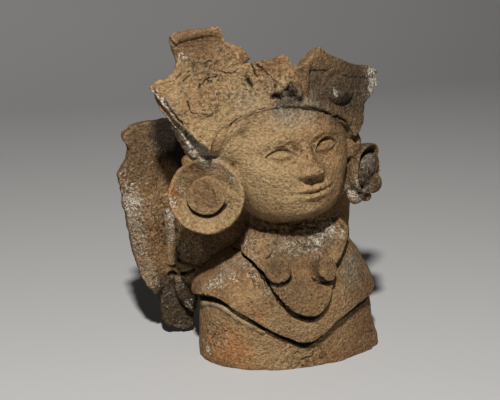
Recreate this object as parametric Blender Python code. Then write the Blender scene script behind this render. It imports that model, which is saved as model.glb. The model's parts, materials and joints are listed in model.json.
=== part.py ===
"""Effigy urn: a fired clay bust with a cape, a winged headdress and ear discs, on the front of an oval jar.

Metres, +Z up. The figure faces -Y and its own right hand is at -X. The origin is on the ground, on the urn's
underside. Every form is a closed lump of clay. The lumps are fused into one solid, which is then hollowed.
"""

import math

import bmesh
import bpy
from mathutils import Matrix, Vector

# Jar behind the figure
JAR_HALF_WIDTH = 0.077
JAR_HALF_DEPTH = 0.0505
JAR_FRONT_Y = 0.0045
JAR_MIDDLE_Y = JAR_FRONT_Y + JAR_HALF_DEPTH
JAR_WALL = 0.009
RIM_HEIGHT = 0.180
RIM_FLARE = 0.002
BAND_BOTTOM = 0.053
BAND_HEIGHT = 0.014
BAND_PROUD = 0.003
# Section of the band, as shares of its height and of how proud it is
BAND_PROFILE = ((0.00, -0.70), (0.07, 0.80), (0.50, 1.00), (0.93, 0.80), (1.00, -0.70))
# Underside of the jar, which draws in towards the foot. Each level: height, then shares of the jar's
# middle y, half width and half depth
JAR_FOOT_LEVELS = ((0.000, 0.47, 0.62, 0.64), (0.030, 0.65, 0.74, 0.84), (0.046, 0.91, 0.90, 0.98))
# Foot of the room inside the jar, where it opens into the body. Each level: height, wall there
JAR_HOLLOW_FOOT = ((0.0145, 0.024), (0.0300, 0.010), (0.0420, 0.009))
OVERCUT = 0.004

# Figure's body, which is also the urn's foot. Each level: share of its height, then its middle x and half
# width as shares of the half width, and its depth in front and behind as shares of the depth
BODY_HEIGHT = 0.120
BODY_HALF_WIDTH = 0.0735
BODY_DEPTH = 0.050
BODY_LEVELS = (
    (0.000, 0.000, 1.000, 1.000, 1.200),
    (0.167, 0.000, 0.986, 1.000, 1.160),
    (0.333, -0.014, 0.973, 1.000, 1.120),
    (0.483, -0.041, 0.939, 0.980, 1.040),
    (0.600, -0.014, 0.823, 0.900, 0.960),
    (0.667, 0.027, 0.741, 0.840, 0.920),
    (0.733, 0.068, 0.626, 0.790, 0.840),
    (0.800, 0.082, 0.551, 0.740, 0.760),
    (0.875, 0.082, 0.503, 0.700, 0.720),
    (1.000, 0.068, 0.490, 0.680, 0.720),
)
NECK_HALF_WIDTH = 0.034
NECK_DEPTH = 0.030
BODY_WALL = 0.009
FLOOR = 0.010
CHEST_HOLLOW_TOP_SHARE = 0.617
CHEST_HOLLOW_CLOSE_SHARE = 0.93
FOOT_FLARE = 0.006
FOOT_FLARE_ANGLE = 72
FOOT_FLARE_SPREAD = 40
FOOT_FLARE_HEIGHT = 0.016

# Cape. Its hem: angle round the body from the front, in degrees, and share of the body's height
CAPE_THICKNESS = 0.006
CAPE_TOP_SHARE = 0.867
CAPE_HEM = (
    (-180, 0.417),
    (-120, 0.417),
    (-95, 0.440),
    (-68, 0.482),
    (-53, 0.459),
    (-34, 0.350),
    (-17, 0.250),
    (-3, 0.188),
    (8, 0.234),
    (17, 0.301),
    (29, 0.354),
    (46, 0.385),
    (110, 0.408),
    (180, 0.417),
)

# Bib over the cape, with a round pendant below. Its lower edge is given as the hem is
BIB_THICKNESS = 0.0055
BIB_TOP_SHARE = 0.942
BIB_TOP_PROUD = 0.001
BIB_END_ANGLE = 24
BIB_END_SHARE = 0.15
BIB_EDGE = (
    (-84, 0.768),
    (-61, 0.739),
    (-45, 0.702),
    (-32, 0.648),
    (-18, 0.513),
    (-9, 0.419),
    (-2, 0.388),
    (4, 0.398),
    (9.5, 0.450),
    (13.5, 0.529),
    (14.5, 0.608),
    (16.5, 0.683),
    (22, 0.725),
    (30, 0.775),
    (40, 0.825),
    (54, 0.858),
)
PELLET_THICKNESS = 0.006
PELLET_SINK = 0.002
PELLET_RISE = 12
# Half section of a pellet, as shares of its half height and its thickness
PELLET_PROFILE = ((0.90, -1.00), (1.00, 0.00), (1.00, 0.30), (0.80, 0.88), (0.40, 1.00))
# Each pellet: angle round the body, share of the body's height, half width, half height, and the turn of its
# face from the front in degrees
PELLETS = ((-27.0, 0.685, 0.0105, 0.0108, -20), (6.4, 0.673, 0.0085, 0.0103, 22))
LAPPET_RADIUS = 0.0055
LAPPET = ((44, 0.883), (36, 0.842), (27, 0.783), (16, 0.708))

# Head, thrown back and turned a little. Its middle is HEAD_RISE above the body. Each level, as shares of the
# head's half height, half width and depth: height, half width, depth in front, depth behind
HEAD_RISE = 0.041
HEAD_CENTRE = Vector((-0.008, -0.010, BODY_HEIGHT + HEAD_RISE))
HEAD_YAW = 3
HEAD_TILT_BACK = 14
HEAD_ROLL = 6
HEAD_HALF_HEIGHT = 0.048
HEAD_HALF_WIDTH = 0.051
HEAD_DEPTH = 0.046
HEAD_LEVELS = (
    (-1.00, 0.22, 0.42, 0.16),
    (-0.96, 0.40, 0.62, 0.24),
    (-0.84, 0.60, 0.80, 0.34),
    (-0.63, 0.77, 0.90, 0.42),
    (-0.31, 0.90, 0.96, 0.46),
    (0.00, 0.97, 0.99, 0.48),
    (0.31, 1.00, 1.00, 0.48),
    (0.63, 1.01, 0.98, 0.48),
    (0.88, 0.98, 0.93, 0.46),
    (1.02, 0.90, 0.84, 0.42),
    (1.14, 0.70, 0.64, 0.34),
    (1.22, 0.34, 0.34, 0.20),
)
HEAD_SQUARENESS = 2.4

# Face relief, of a plain and calm design. Lengths are shares of the head's half height
EYE_APART = 0.39
EYE_HEIGHT = 0.12
EYE_HALF_WIDTH = 0.20
EYE_HALF_HEIGHT = 0.095
EYE_PROUD = 0.075
BROW_HEIGHT = 0.30
BROW_ARCH = 0.35
BROW_PROUD = 0.055
NOSE_TOP = 0.32
NOSE_BASE = -0.33
NOSE_PROUD = 0.27
NOSE_CHIP = 0.21
MOUTH_HEIGHT = -0.56
MOUTH_HALF_WIDTH = 0.34
MOUTH_CURVE = 0.05
LIP_APART = 0.065
LIP_PROUD = 0.060
PARTING_DEPTH = 0.045
# Sockets, nostrils, cheeks, muzzle and chin. Each: place across, its spread, place up, its spread, proud
FACE_SWELLS = (
    (EYE_APART, 0.25, EYE_HEIGHT, 0.15, -0.085),
    (0.15, 0.085, -0.25, 0.09, 0.095),
    (0.52, 0.26, -0.20, 0.24, 0.045),
    (0.00, 0.36, MOUTH_HEIGHT, 0.20, 0.055),
    (0.00, 0.24, -0.88, 0.13, 0.075),
)

# Headdress: a slab bent round the brow. u runs round it from the middle of the brow and v runs up from the
# head's centre, so its outline and its marks are (u, v) pairs
BROW_RADIUS = 0.070
BROW_ANGLE = 16
BROW_FRONT = 0.047
SLAB_THICKNESS = 0.009
SLAB_OVERLAP = 0.002
BACK_SLAB_THICKNESS = 0.008
BAND_EDGE_MIDDLE = -0.022
BAND_EDGE_TOP = 0.0414
BAND_EDGE_BOW = 5.56
BAND_EDGE_ENDS = (-0.0648, 0.0461)
SLAB_OUTLINE = (
    (-0.0714, 0.0198),
    (-0.0825, 0.0329),
    (-0.0952, 0.0517),
    (-0.1061, 0.0737),
    (-0.1020, 0.0764),
    (-0.0934, 0.0766),
    (-0.0846, 0.0848),
    (-0.0832, 0.0890),
    (-0.0848, 0.1040),
    (-0.0844, 0.1075),
    (-0.0810, 0.1092),
    (-0.0478, 0.1075),
    (-0.0464, 0.1001),
    (-0.0447, 0.0952),
    (-0.0404, 0.0939),
    (-0.0347, 0.0906),
    (-0.0284, 0.0804),
    (-0.0338, 0.0785),
    (-0.0225, 0.0745),
    (0.0087, 0.0660),
    (0.0137, 0.0711),
    (0.0307, 0.0802),
    (0.0389, 0.0731),
    (0.0640, 0.0602),
    (0.0768, 0.0588),
    (0.0838, 0.0545),
    (0.0847, 0.0496),
    (0.0820, 0.0423),
    (0.0656, 0.0305),
    (0.0591, 0.0154),
    (0.0554, 0.0112),
    (0.0492, 0.0076),
)
BACK_SLAB_OUTLINE = (
    (-0.0855, 0.0170),
    (-0.0938, 0.0405),
    (-0.1032, 0.0614),
    (-0.0990, 0.0720),
    (-0.0500, 0.0720),
    (-0.0450, 0.0150),
    (-0.0640, 0.0110),
)
# Strap from the headdress down behind the right ear disc, as x and height in the head's own frame. It leans
# backwards on its way down
STRAP_FRONT = -0.014
STRAP_THICKNESS = 0.010
STRAP_LEAN = 0.22
STRAP_OUTLINE = (
    (-0.0890, 0.0435),
    (-0.0785, 0.0245),
    (-0.0775, 0.0140),
    (-0.0760, 0.0060),
    (-0.0600, 0.0040),
    (-0.0600, 0.0170),
    (-0.0560, 0.0260),
    (-0.0540, 0.0450),
)
CREST_OUTLINE = (
    (-0.0270, 0.0775),
    (-0.0127, 0.0760),
    (-0.0094, 0.0783),
    (-0.0053, 0.0797),
    (-0.0022, 0.0774),
    (0.0007, 0.0705),
    (0.0087, 0.0686),
    (0.0088, 0.0499),
    (-0.0060, 0.0500),
)
CREST_PROUD = 0.0025
TAB_ROLL_RADIUS = 0.0032
TAB_ROLL = ((-0.0830, 0.1050), (-0.0790, 0.1068), (-0.0495, 0.1052))
BROW_ROLL_RADIUS = 0.0040
BROW_ROLL = (0.004, 0.046)
FURROW_ROLL_RADIUS = 0.0038
FURROW_ROLL = ((0.0095, 0.0500), (0.0100, 0.0600), (0.0118, 0.0680))
RIDGE_OUTLINE = (
    (0.0131, 0.0640),
    (0.0285, 0.0616),
    (0.0350, 0.0625),
    (0.0475, 0.0566),
    (0.0593, 0.0524),
    (0.0790, 0.0500),
    (0.0820, 0.0540),
    (0.0640, 0.0590),
    (0.0389, 0.0715),
    (0.0307, 0.0780),
    (0.0140, 0.0700),
)
RIDGE_PROUD = 0.0022
# Discs and the broken stub on the headdress. Their half sections are shares of their radius and of how proud
# they are
WING_DISC_RADIUS = 0.0112
WING_DISC_PROUD = 0.003
WING_DISC_PROFILE = ((1.00, -1.00), (1.00, 0.40), (0.85, 1.00))
WING_DISCS = ((-0.0696, 0.0548), (0.0421, 0.0456))
STUB_RADIUS = 0.011
STUB_PROUD = 0.009
STUB_PROFILE = ((1.00, -0.50), (1.00, 0.10), (0.62, 0.60), (0.30, 1.00))
STUB = (-0.0072, 0.0509)
# Crown of the head behind the headdress, and the temples: middle and half sizes in the head's own frame
CROWN = (Vector((0.000, -0.012, 0.036)), Vector((0.050, 0.027, 0.028)))
TEMPLE_SIZE = Vector((0.011, 0.018, 0.026))
TEMPLES = (Vector((-0.046, 0.002, 0.010)), Vector((0.046, 0.002, 0.008)))
# Clay that joins the headdress to the left ear disc: middle and half sizes in the head's own frame
JOINING_LUMP = (Vector((0.0505, -0.021, 0.003)), Vector((0.009, 0.010, 0.0125)))

# Ear discs. Each: place in the head's own frame, turn of its face from the front and upwards, in degrees
DISC_RADIUS = 0.0295
DISC_THICKNESS = 0.013
DISC_LIP = 0.0055
DISC_RECESS = 0.0045
DISC_BOSS_RADIUS = 0.0150
DISC_BOSS_PROUD = 0.0035
DISC_STEM_RADIUS = 0.014
# Where a stem starts inside the head: share of the disc's distance from the middle, and how far behind it
STEM_START = 0.35
STEM_SETBACK = 0.008
RIGHT_DISC = (Vector((-0.0695, -0.005, -0.0142)), -26, 8)
LEFT_DISC = (Vector((0.0640, -0.008, -0.0236)), 38, 4)
LEFT_DISC_RADIUS = 0.0235
# Lumps of the broken left disc, low on its boss and below its stem: middle in the disc's frame, half sizes
LEFT_DISC_LUMPS = (
    (Vector((0.0045, -0.0100, 0.0120)), Vector((0.0085, 0.0078, 0.0055))),
    (Vector((-0.0080, -0.0160, 0.0030)), Vector((0.0120, 0.0085, 0.0060))),
)
# How much is left of a lip. Each key: angle round the face, anticlockwise from its right, and the share left
WHOLE_LIP = ((0, 1.0), (360, 1.0))
BROKEN_LIP = (
    (0, 0.15),
    (34, 0.20),
    (52, 0.95),
    (75, 1.00),
    (185, 1.00),
    (208, 0.80),
    (228, 0.40),
    (262, 0.20),
    (300, 0.10),
    (360, 0.15),
)

# Side flange: reach out from the jar's side, and height
FLANGE_THICKNESS = 0.009
FLANGE_OUTLINE = (
    (-0.004, 0.0480),
    (0.005, 0.0509),
    (0.009, 0.0459),
    (0.014, 0.0444),
    (0.019, 0.0401),
    (0.0265, 0.0470),
    (0.0352, 0.0692),
    (0.0397, 0.0927),
    (0.0444, 0.1260),
    (0.0467, 0.1424),
    (0.0396, 0.1548),
    (0.0388, 0.1627),
    (0.0430, 0.1750),
    (0.0423, 0.1789),
    (0.0362, 0.1824),
    (0.0131, 0.1846),
    (-0.004, 0.1830),
)
FLANGE_WAVE = 0.0016
WAVE_LENGTH = 0.060
WAVE_START = 0.030
FOLD_RADIUS = 0.0048
FOLD = ((0.0085, 0.1250), (0.0065, 0.1040), (0.0055, 0.0840), (0.0050, 0.0640))

# Hanging tabs under the jar's side: distance inwards from the jar's side, and height
TAB_THICKNESS = 0.009
BACK_TAB_Y = 0.056
BACK_TAB_OUTLINE = (
    (0.0040, 0.0600),
    (-0.0051, 0.0537),
    (-0.0105, 0.0468),
    (-0.0140, 0.0330),
    (-0.0130, 0.0148),
    (-0.0081, 0.0075),
    (0.0046, 0.0030),
    (0.0133, 0.0057),
    (0.0160, 0.0600),
)
FRONT_TAB_Y = 0.047
FRONT_TAB_OUTLINE = (
    (-0.0040, 0.0600),
    (-0.0035, 0.0470),
    (0.0006, 0.0343),
    (0.0047, 0.0273),
    (0.0106, 0.0217),
    (0.0140, 0.0300),
    (0.0140, 0.0600),
)

# Mesh
PLATE_CELL = 0.006
VOXEL = 0.0016
FACET_BUDGET = 7400
ROUND_POINTS = 96
SINK = 0.006


def smooth_step(t):
    t = min(max(t, 0.0), 1.0)
    return t * t * (3 - 2 * t)


def bump(distance, width):
    return math.exp(-((distance / width) ** 2))


def curve_at(keys, t):
    """The values at t on a smooth curve through the keys, each of which starts with its own t."""
    t = min(max(t, keys[0][0]), keys[-1][0])
    i = next(i for i in range(1, len(keys)) if t <= keys[i][0])
    before, start, end, after = (keys[min(max(k, 0), len(keys) - 1)] for k in range(i - 2, i + 2))
    span = end[0] - start[0]
    s = (t - start[0]) / span
    values = []
    for a, b, c, d in zip(before[1:], start[1:], end[1:], after[1:]):
        leave = (c - a) / (end[0] - before[0]) * span
        arrive = (d - b) / (after[0] - start[0]) * span
        values.append(
            b * (1 + 2 * s) * (1 - s) ** 2
            + leave * s * (1 - s) ** 2
            + c * s * s * (3 - 2 * s)
            + arrive * s * s * (s - 1)
        )
    return values


def add_loft(clay, rings):
    """A closed lump through rings of equally many points, with a fan on each end."""
    rows = [[clay.verts.new(point) for point in ring] for ring in rings]
    count = len(rows[0])
    for low, high in zip(rows, rows[1:]):
        for k in range(count):
            clay.faces.new((low[k], low[(k + 1) % count], high[(k + 1) % count], high[k]))
    for row in (rows[0], rows[-1]):
        middle = clay.verts.new(sum((v.co for v in row), Vector()) / count)
        for k in range(count):
            clay.faces.new((row[k], row[(k + 1) % count], middle))


def add_band(clay, sections):
    """A closed lump that goes all the way round through its sections, as a tyre does."""
    rows = [[clay.verts.new(point) for point in section] for section in sections]
    count = len(rows[0])
    for row, following in zip(rows, rows[1:] + rows[:1]):
        for k in range(count):
            clay.faces.new((row[k], row[(k + 1) % count], following[(k + 1) % count], following[k]))


def add_plate(clay, outline, front, back, place):
    """A closed plate cut from an outline. It is split into cells, so that place() can bend it."""
    sheet = bmesh.new()
    sheet.faces.new([sheet.verts.new((u, v, 0)) for u, v in outline])
    for axis in (0, 1):
        values = [point[axis] for point in outline]
        normal = Vector((1 - axis, axis, 0))
        for k in range(1, math.ceil((max(values) - min(values)) / PLATE_CELL)):
            everything = sheet.verts[:] + sheet.edges[:] + sheet.faces[:]
            middle = normal * (min(values) + k * PLATE_CELL)
            bmesh.ops.bisect_plane(sheet, geom=everything, dist=1e-7, plane_co=middle, plane_no=normal)
    bmesh.ops.triangulate(sheet, faces=sheet.faces[:])
    sheet.verts.ensure_lookup_table()
    sides = []
    for depth in (front, back):
        verts = [clay.verts.new(place(v.co.x, v.co.y, depth)) for v in sheet.verts]
        for face in sheet.faces:
            clay.faces.new([verts[v.index] for v in face.verts])
        sides.append(verts)
    for edge in sheet.edges:
        if edge.is_boundary:
            a, b = (v.index for v in edge.verts)
            clay.faces.new((sides[0][a], sides[0][b], sides[1][b], sides[1][a]))
    sheet.free()


def scaled(profile, radius, height):
    return [(radius * out, height * up) for out, up in profile]


def add_turned(clay, profile, frame, squash=1.0, left=None, core=0.0):
    """A turned lump: profile is (radius, height) pairs up the axis, and frame puts the axis in place.

    Beyond the core radius only the share that left gives at each angle is still there.
    """
    rings = []
    for radius, height in profile:
        ring = []
        for k in range(ROUND_POINTS // 2):
            turn = 2 * math.pi * k / (ROUND_POINTS // 2)
            reach = radius
            if left and radius > core:
                reach = core + (radius - core) * curve_at(left, math.degrees(turn))[0]
            ring.append(frame @ Vector((reach * squash * math.cos(turn), reach * math.sin(turn), height)))
        rings.append(ring)
    add_loft(clay, rings)


def add_coil(clay, path, radius):
    """A roll of clay along a path."""
    rings = []
    for i, point in enumerate(path):
        along = (path[min(i + 1, len(path) - 1)] - path[max(i - 1, 0)]).normalized()
        side = along.cross(Vector((0, 1, 0)) if abs(along.y) < 0.9 else Vector((1, 0, 0))).normalized()
        over = along.cross(side)
        ring = []
        for k in range(16):
            turn = 2 * math.pi * k / 16
            ring.append(point + radius * (math.cos(turn) * side + math.sin(turn) * over))
        rings.append(ring)
    add_loft(clay, rings)


def add_ball(clay, frame, size):
    """An egg of clay in the frame, with its three half sizes."""
    rings = []
    for k in range(1, 24):
        rise = math.radians(-90 + 180 * k / 24)
        ring = []
        for i in range(ROUND_POINTS // 2):
            turn = 2 * math.pi * i / (ROUND_POINTS // 2)
            out = math.cos(rise)
            local = (size.x * out * math.cos(turn), size.y * out * math.sin(turn), size.z * math.sin(rise))
            ring.append(frame @ Vector(local))
        rings.append(ring)
    add_loft(clay, rings)


def facing(point, turn, rise):
    """A frame at the point, whose +Z is turned from the front and raised by angles in degrees."""
    turned = Matrix.Rotation(math.radians(turn), 4, "Z") @ Matrix.Rotation(math.radians(90 - rise), 4, "X")
    return Matrix.Translation(point) @ turned


def body_levels():
    sizes = (BODY_HEIGHT, BODY_HALF_WIDTH, BODY_HALF_WIDTH, BODY_DEPTH, BODY_DEPTH)
    levels = [tuple(share * size for share, size in zip(level, sizes)) for level in BODY_LEVELS]
    levels.append((HEAD_CENTRE.z, HEAD_CENTRE.x, NECK_HALF_WIDTH, NECK_DEPTH, NECK_DEPTH))
    return levels


def body_point(angle, height, proud=0.0):
    """A point on the body at an angle from the front, in degrees, standing proud of the surface."""
    middle, half_width, front, back = curve_at(BODY_KEYS, height)
    turn = math.radians(angle)
    proud += FOOT_FLARE * bump(height, FOOT_FLARE_HEIGHT) * bump(angle - FOOT_FLARE_ANGLE, FOOT_FLARE_SPREAD)
    depth = front if math.cos(turn) > 0 else back
    return Vector(
        (middle + (half_width + proud) * math.sin(turn), -(depth + proud) * math.cos(turn), height)
    )


BODY_KEYS = body_levels()


def round_angles():
    return [-180 + 360 * k / ROUND_POINTS for k in range(ROUND_POINTS)]


def add_body(clay):
    heights = [-SINK] + [HEAD_CENTRE.z * k / 40 for k in range(41)]
    rings = []
    for height in heights:
        ring = [body_point(angle, max(height, 0.0)) for angle in round_angles()]
        rings.append([Vector((point.x, point.y, height)) for point in ring])
    add_loft(clay, rings)


def layer_section(angle, edge, top, under, over, fade):
    """Outline across a layer of clay: a round lower edge, a face that thins upwards and a buried back."""
    radius = (over - under) / 2
    section = []
    for k in range(7):
        turn = math.radians(-90 + 30 * k)
        section.append(
            body_point(angle, edge + radius * (1 - math.cos(turn)), under + radius * (1 + math.sin(turn)))
        )
    start = edge + radius
    for k in range(1, 9):
        share = k / 8
        proud = over + (fade - over) * smooth_step(share)
        section.append(body_point(angle, start + (top - start) * share, proud))
    section.append(body_point(angle, top, -CAPE_THICKNESS / 2))
    section.append(body_point(angle, start, -CAPE_THICKNESS / 2))
    return section


def add_cape(clay):
    sections = []
    for angle in round_angles():
        hem = BODY_HEIGHT * curve_at(CAPE_HEM, angle)[0]
        top = BODY_HEIGHT * CAPE_TOP_SHARE
        sections.append(layer_section(angle, hem, top, 0.0, CAPE_THICKNESS, CAPE_THICKNESS / 4))
    add_band(clay, sections)


def add_bib(clay):
    first, last = BIB_EDGE[0][0], BIB_EDGE[-1][0]
    sections = []
    for k in range(73):
        angle = first + (last - first) * k / 72
        edge = BODY_HEIGHT * curve_at(BIB_EDGE, angle)[0]
        ends = smooth_step((angle - first) / BIB_END_ANGLE) * smooth_step((last - angle) / BIB_END_ANGLE)
        over = CAPE_THICKNESS + BIB_THICKNESS * (BIB_END_SHARE + (1 - BIB_END_SHARE) * ends)
        top = BODY_HEIGHT * BIB_TOP_SHARE
        sections.append(layer_section(angle, edge, top, CAPE_THICKNESS / 2, over, BIB_TOP_PROUD))
    add_loft(clay, sections)
    proud = CAPE_THICKNESS + BIB_THICKNESS
    for angle, share, half_width, half_height, turn in PELLETS:
        profile = scaled(PELLET_PROFILE, half_height, PELLET_THICKNESS)
        frame = facing(body_point(angle, BODY_HEIGHT * share, proud - PELLET_SINK), turn, PELLET_RISE)
        add_turned(clay, profile, frame, half_width / half_height)
    keys = [(k, angle, BODY_HEIGHT * share) for k, (angle, share) in enumerate(LAPPET)]
    steps = [(len(LAPPET) - 1) * k / 12 for k in range(13)]
    add_coil(clay, [body_point(*curve_at(keys, step), proud / 2) for step in steps], LAPPET_RADIUS)


def head_frame():
    turned = (
        Matrix.Rotation(math.radians(HEAD_YAW), 4, "Z")
        @ Matrix.Rotation(math.radians(-HEAD_TILT_BACK), 4, "X")
        @ Matrix.Rotation(math.radians(-HEAD_ROLL), 4, "Y")
    )
    return Matrix.Translation(HEAD_CENTRE) @ turned


def face_relief(x, z):
    """How far the face stands proud at x across and z up, all as shares of the head's half height."""
    across = abs(x)
    arch = BROW_HEIGHT - BROW_ARCH * (across - EYE_APART) ** 2
    brow = BROW_PROUD * bump(z - arch, 0.09) * bump(across - EYE_APART, 0.36)
    almond = ((across - EYE_APART) / EYE_HALF_WIDTH) ** 2 + ((z - EYE_HEIGHT) / EYE_HALF_HEIGHT) ** 2
    eye = EYE_PROUD * math.exp(-(almond**2))
    bridge = smooth_step((NOSE_TOP - z) / 0.25) * smooth_step((z - NOSE_BASE) / 0.09)
    slope = 0.30 + 0.70 * smooth_step((NOSE_TOP - z) / (NOSE_TOP - NOSE_BASE))
    nose = min(NOSE_PROUD * bridge * slope * bump(across, 0.11 + 0.07 * slope), NOSE_CHIP)
    smile = MOUTH_HEIGHT + MOUTH_CURVE * (across / MOUTH_HALF_WIDTH) ** 2
    lips = LIP_PROUD * (bump(z - smile - LIP_APART, 0.055) + bump(z - smile + LIP_APART, 0.065))
    mouth = bump(across / MOUTH_HALF_WIDTH, 0.85) * (lips - PARTING_DEPTH * bump(z - smile, 0.022))
    swells = 0.0
    for middle, wide, height, tall, proud in FACE_SWELLS:
        swells += proud * bump(across - middle, wide) * bump(z - height, tall)
    return brow + eye + nose + mouth + swells


def head_point(turn, level):
    """A point of the head in its own frame, at a turn from the front and a level in half heights."""
    half_width, front, back = curve_at(HEAD_LEVELS, level)
    depth = front if math.cos(turn) > 0 else back
    power = 2 / HEAD_SQUARENESS
    x = HEAD_HALF_WIDTH * half_width * math.copysign(abs(math.sin(turn)) ** power, math.sin(turn))
    y = -HEAD_DEPTH * depth * math.copysign(abs(math.cos(turn)) ** power, math.cos(turn))
    if y < 0:
        relief = face_relief(x / HEAD_HALF_HEIGHT, level) * smooth_step(-y / (0.5 * HEAD_DEPTH))
        y -= HEAD_HALF_HEIGHT * relief
    return Vector((x, y, level * HEAD_HALF_HEIGHT))


def add_head(clay):
    frame = head_frame()
    low, high = HEAD_LEVELS[0][0], HEAD_LEVELS[-1][0]
    rings = []
    for k in range(73):
        level = low + (high - low) * k / 72
        turns = [2 * math.pi * i / (2 * ROUND_POINTS) for i in range(2 * ROUND_POINTS)]
        rings.append([frame @ head_point(turn, level) for turn in turns])
    add_loft(clay, rings)
    add_ball(clay, frame @ Matrix.Translation(CROWN[0]), CROWN[1])
    for temple in TEMPLES:
        add_ball(clay, frame @ Matrix.Translation(temple), TEMPLE_SIZE)
    add_ball(clay, frame @ Matrix.Translation(JOINING_LUMP[0]), JOINING_LUMP[1])


def slab_point(u, v, depth):
    """A point of the headdress: u round the brow, v up, depth in from its front."""
    turn = min(abs(u) / BROW_RADIUS, math.radians(BROW_ANGLE))
    straight = abs(u) - turn * BROW_RADIUS
    x = (BROW_RADIUS - depth) * math.sin(turn) + straight * math.cos(turn)
    y = BROW_RADIUS - BROW_FRONT - (BROW_RADIUS - depth) * math.cos(turn) + straight * math.sin(turn)
    return head_frame() @ Vector((math.copysign(x, u), y, v))


def strap_point(x, height, depth):
    lean = STRAP_LEAN * (STRAP_OUTLINE[0][1] - height)
    return head_frame() @ Vector((x, STRAP_FRONT + depth + lean, height))


def outward_frame(u, v):
    """A frame on the headdress's front, whose +Z faces out of it."""
    middle = slab_point(u, v, 0.0)
    outward = slab_point(u, v, -SLAB_THICKNESS) - middle
    return Matrix.Translation(middle) @ outward.to_track_quat("Z", "Y").to_matrix().to_4x4()


def band_edge_height(u):
    """Height of the headdress's lower edge over the brow, which is a bow."""
    return BAND_EDGE_TOP - BAND_EDGE_BOW * (u - BAND_EDGE_MIDDLE) ** 2


def band_edge():
    """Lower edge of the headdress, from the end of its bow on the left of the face to the other end."""
    first, last = BAND_EDGE_ENDS
    steps = [last + (first - last) * k / 16 for k in range(17)]
    return tuple((u, band_edge_height(u)) for u in steps)


def add_headdress(clay):
    add_plate(clay, SLAB_OUTLINE + band_edge(), 0.0, SLAB_THICKNESS, slab_point)
    behind = SLAB_THICKNESS + BACK_SLAB_THICKNESS
    add_plate(clay, BACK_SLAB_OUTLINE, SLAB_THICKNESS - SLAB_OVERLAP, behind, slab_point)
    add_plate(clay, STRAP_OUTLINE, 0.0, STRAP_THICKNESS, strap_point)
    add_plate(clay, CREST_OUTLINE, -CREST_PROUD, SLAB_THICKNESS, slab_point)
    add_plate(clay, RIDGE_OUTLINE, -RIDGE_PROUD, SLAB_THICKNESS / 2, slab_point)
    for u, v in WING_DISCS:
        add_turned(clay, scaled(WING_DISC_PROFILE, WING_DISC_RADIUS, WING_DISC_PROUD), outward_frame(u, v))
    add_turned(clay, scaled(STUB_PROFILE, STUB_RADIUS, STUB_PROUD), outward_frame(*STUB))
    first, last = BROW_ROLL
    steps = [first + (last - first) * k / 12 for k in range(13)]
    path = [slab_point(u, band_edge_height(u) + BROW_ROLL_RADIUS, 0.001) for u in steps]
    add_coil(clay, path, BROW_ROLL_RADIUS)
    add_coil(clay, [slab_point(u, v, 0.0) for u, v in FURROW_ROLL], FURROW_ROLL_RADIUS)
    add_coil(clay, [slab_point(u, v, 0.0) for u, v in TAB_ROLL], TAB_ROLL_RADIUS)


def disc_profile(radius):
    """Half section of an ear disc, from its back to the boss in the middle of its hollowed face."""
    lip = DISC_LIP / 2
    floor = DISC_THICKNESS - DISC_RECESS
    return (
        (radius * 0.55, 0.0),
        (radius * 0.85, 0.001),
        (radius - lip * 0.3, DISC_THICKNESS * 0.4),
        (radius, DISC_THICKNESS * 0.7),
        (radius - lip * 0.3, DISC_THICKNESS - lip * 0.4),
        (radius - lip, DISC_THICKNESS),
        (radius - lip * 1.7, DISC_THICKNESS - lip * 0.4),
        (radius - lip * 2.6, floor + 0.001),
        (DISC_BOSS_RADIUS * 1.08, floor - 0.001),
        (DISC_BOSS_RADIUS, floor),
        (DISC_BOSS_RADIUS * 0.93, floor + DISC_BOSS_PROUD * 0.8),
        (DISC_BOSS_RADIUS * 0.6, floor + DISC_BOSS_PROUD),
    )


def disc_frame(disc):
    """A frame on the back of an ear disc, whose +Z is the disc's axis."""
    local, turn, rise = disc
    return facing(head_frame() @ local, turn, rise) @ Matrix.Translation((0, 0, -DISC_THICKNESS / 2))


def add_ear_disc(clay, disc, radius, lip_left):
    local, frame = disc[0], disc_frame(disc)
    add_turned(clay, disc_profile(radius), frame, left=lip_left, core=DISC_BOSS_RADIUS)
    inner = head_frame() @ Vector((local.x * STEM_START, local.y + STEM_SETBACK, local.z))
    back = frame @ Vector((0, 0, DISC_THICKNESS / 3))
    add_coil(clay, [back.lerp(inner, k / 4) for k in range(5)], DISC_STEM_RADIUS)


def jar_side(reach, height, y):
    """A point beside the jar's own right side: reach is outwards from the wall."""
    return Vector((-JAR_HALF_WIDTH - reach, y, height))


def jar_ring(height, grow=0.0):
    """One level of the jar, grown outwards or drawn inwards."""
    if height < BAND_BOTTOM:
        middle, wide, deep = curve_at(JAR_FOOT_LEVELS + ((BAND_BOTTOM, 1.0, 1.0, 1.0),), height)
    else:
        middle, wide, deep = 1.0, 1.0, 1.0
        grow += RIM_FLARE * smooth_step((height - BAND_BOTTOM) / (RIM_HEIGHT - BAND_BOTTOM)) ** 2
    ring = []
    for angle in round_angles():
        turn = math.radians(angle)
        x = (JAR_HALF_WIDTH * wide + grow) * math.sin(turn)
        y = JAR_MIDDLE_Y * middle - (JAR_HALF_DEPTH * deep + grow) * math.cos(turn)
        ring.append(Vector((x, y, height)))
    return ring


def add_jar(clay):
    levels = [BAND_BOTTOM * k / 10 for k in range(10)]
    levels += [BAND_BOTTOM + (RIM_HEIGHT - BAND_BOTTOM) * k / 16 for k in range(17)]
    rings = [[Vector((p.x, p.y, -SINK)) for p in jar_ring(0.0)]] + [jar_ring(level) for level in levels]
    add_loft(clay, rings)
    add_loft(clay, [jar_ring(BAND_BOTTOM + BAND_HEIGHT * up, BAND_PROUD * out) for up, out in BAND_PROFILE])


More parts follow.
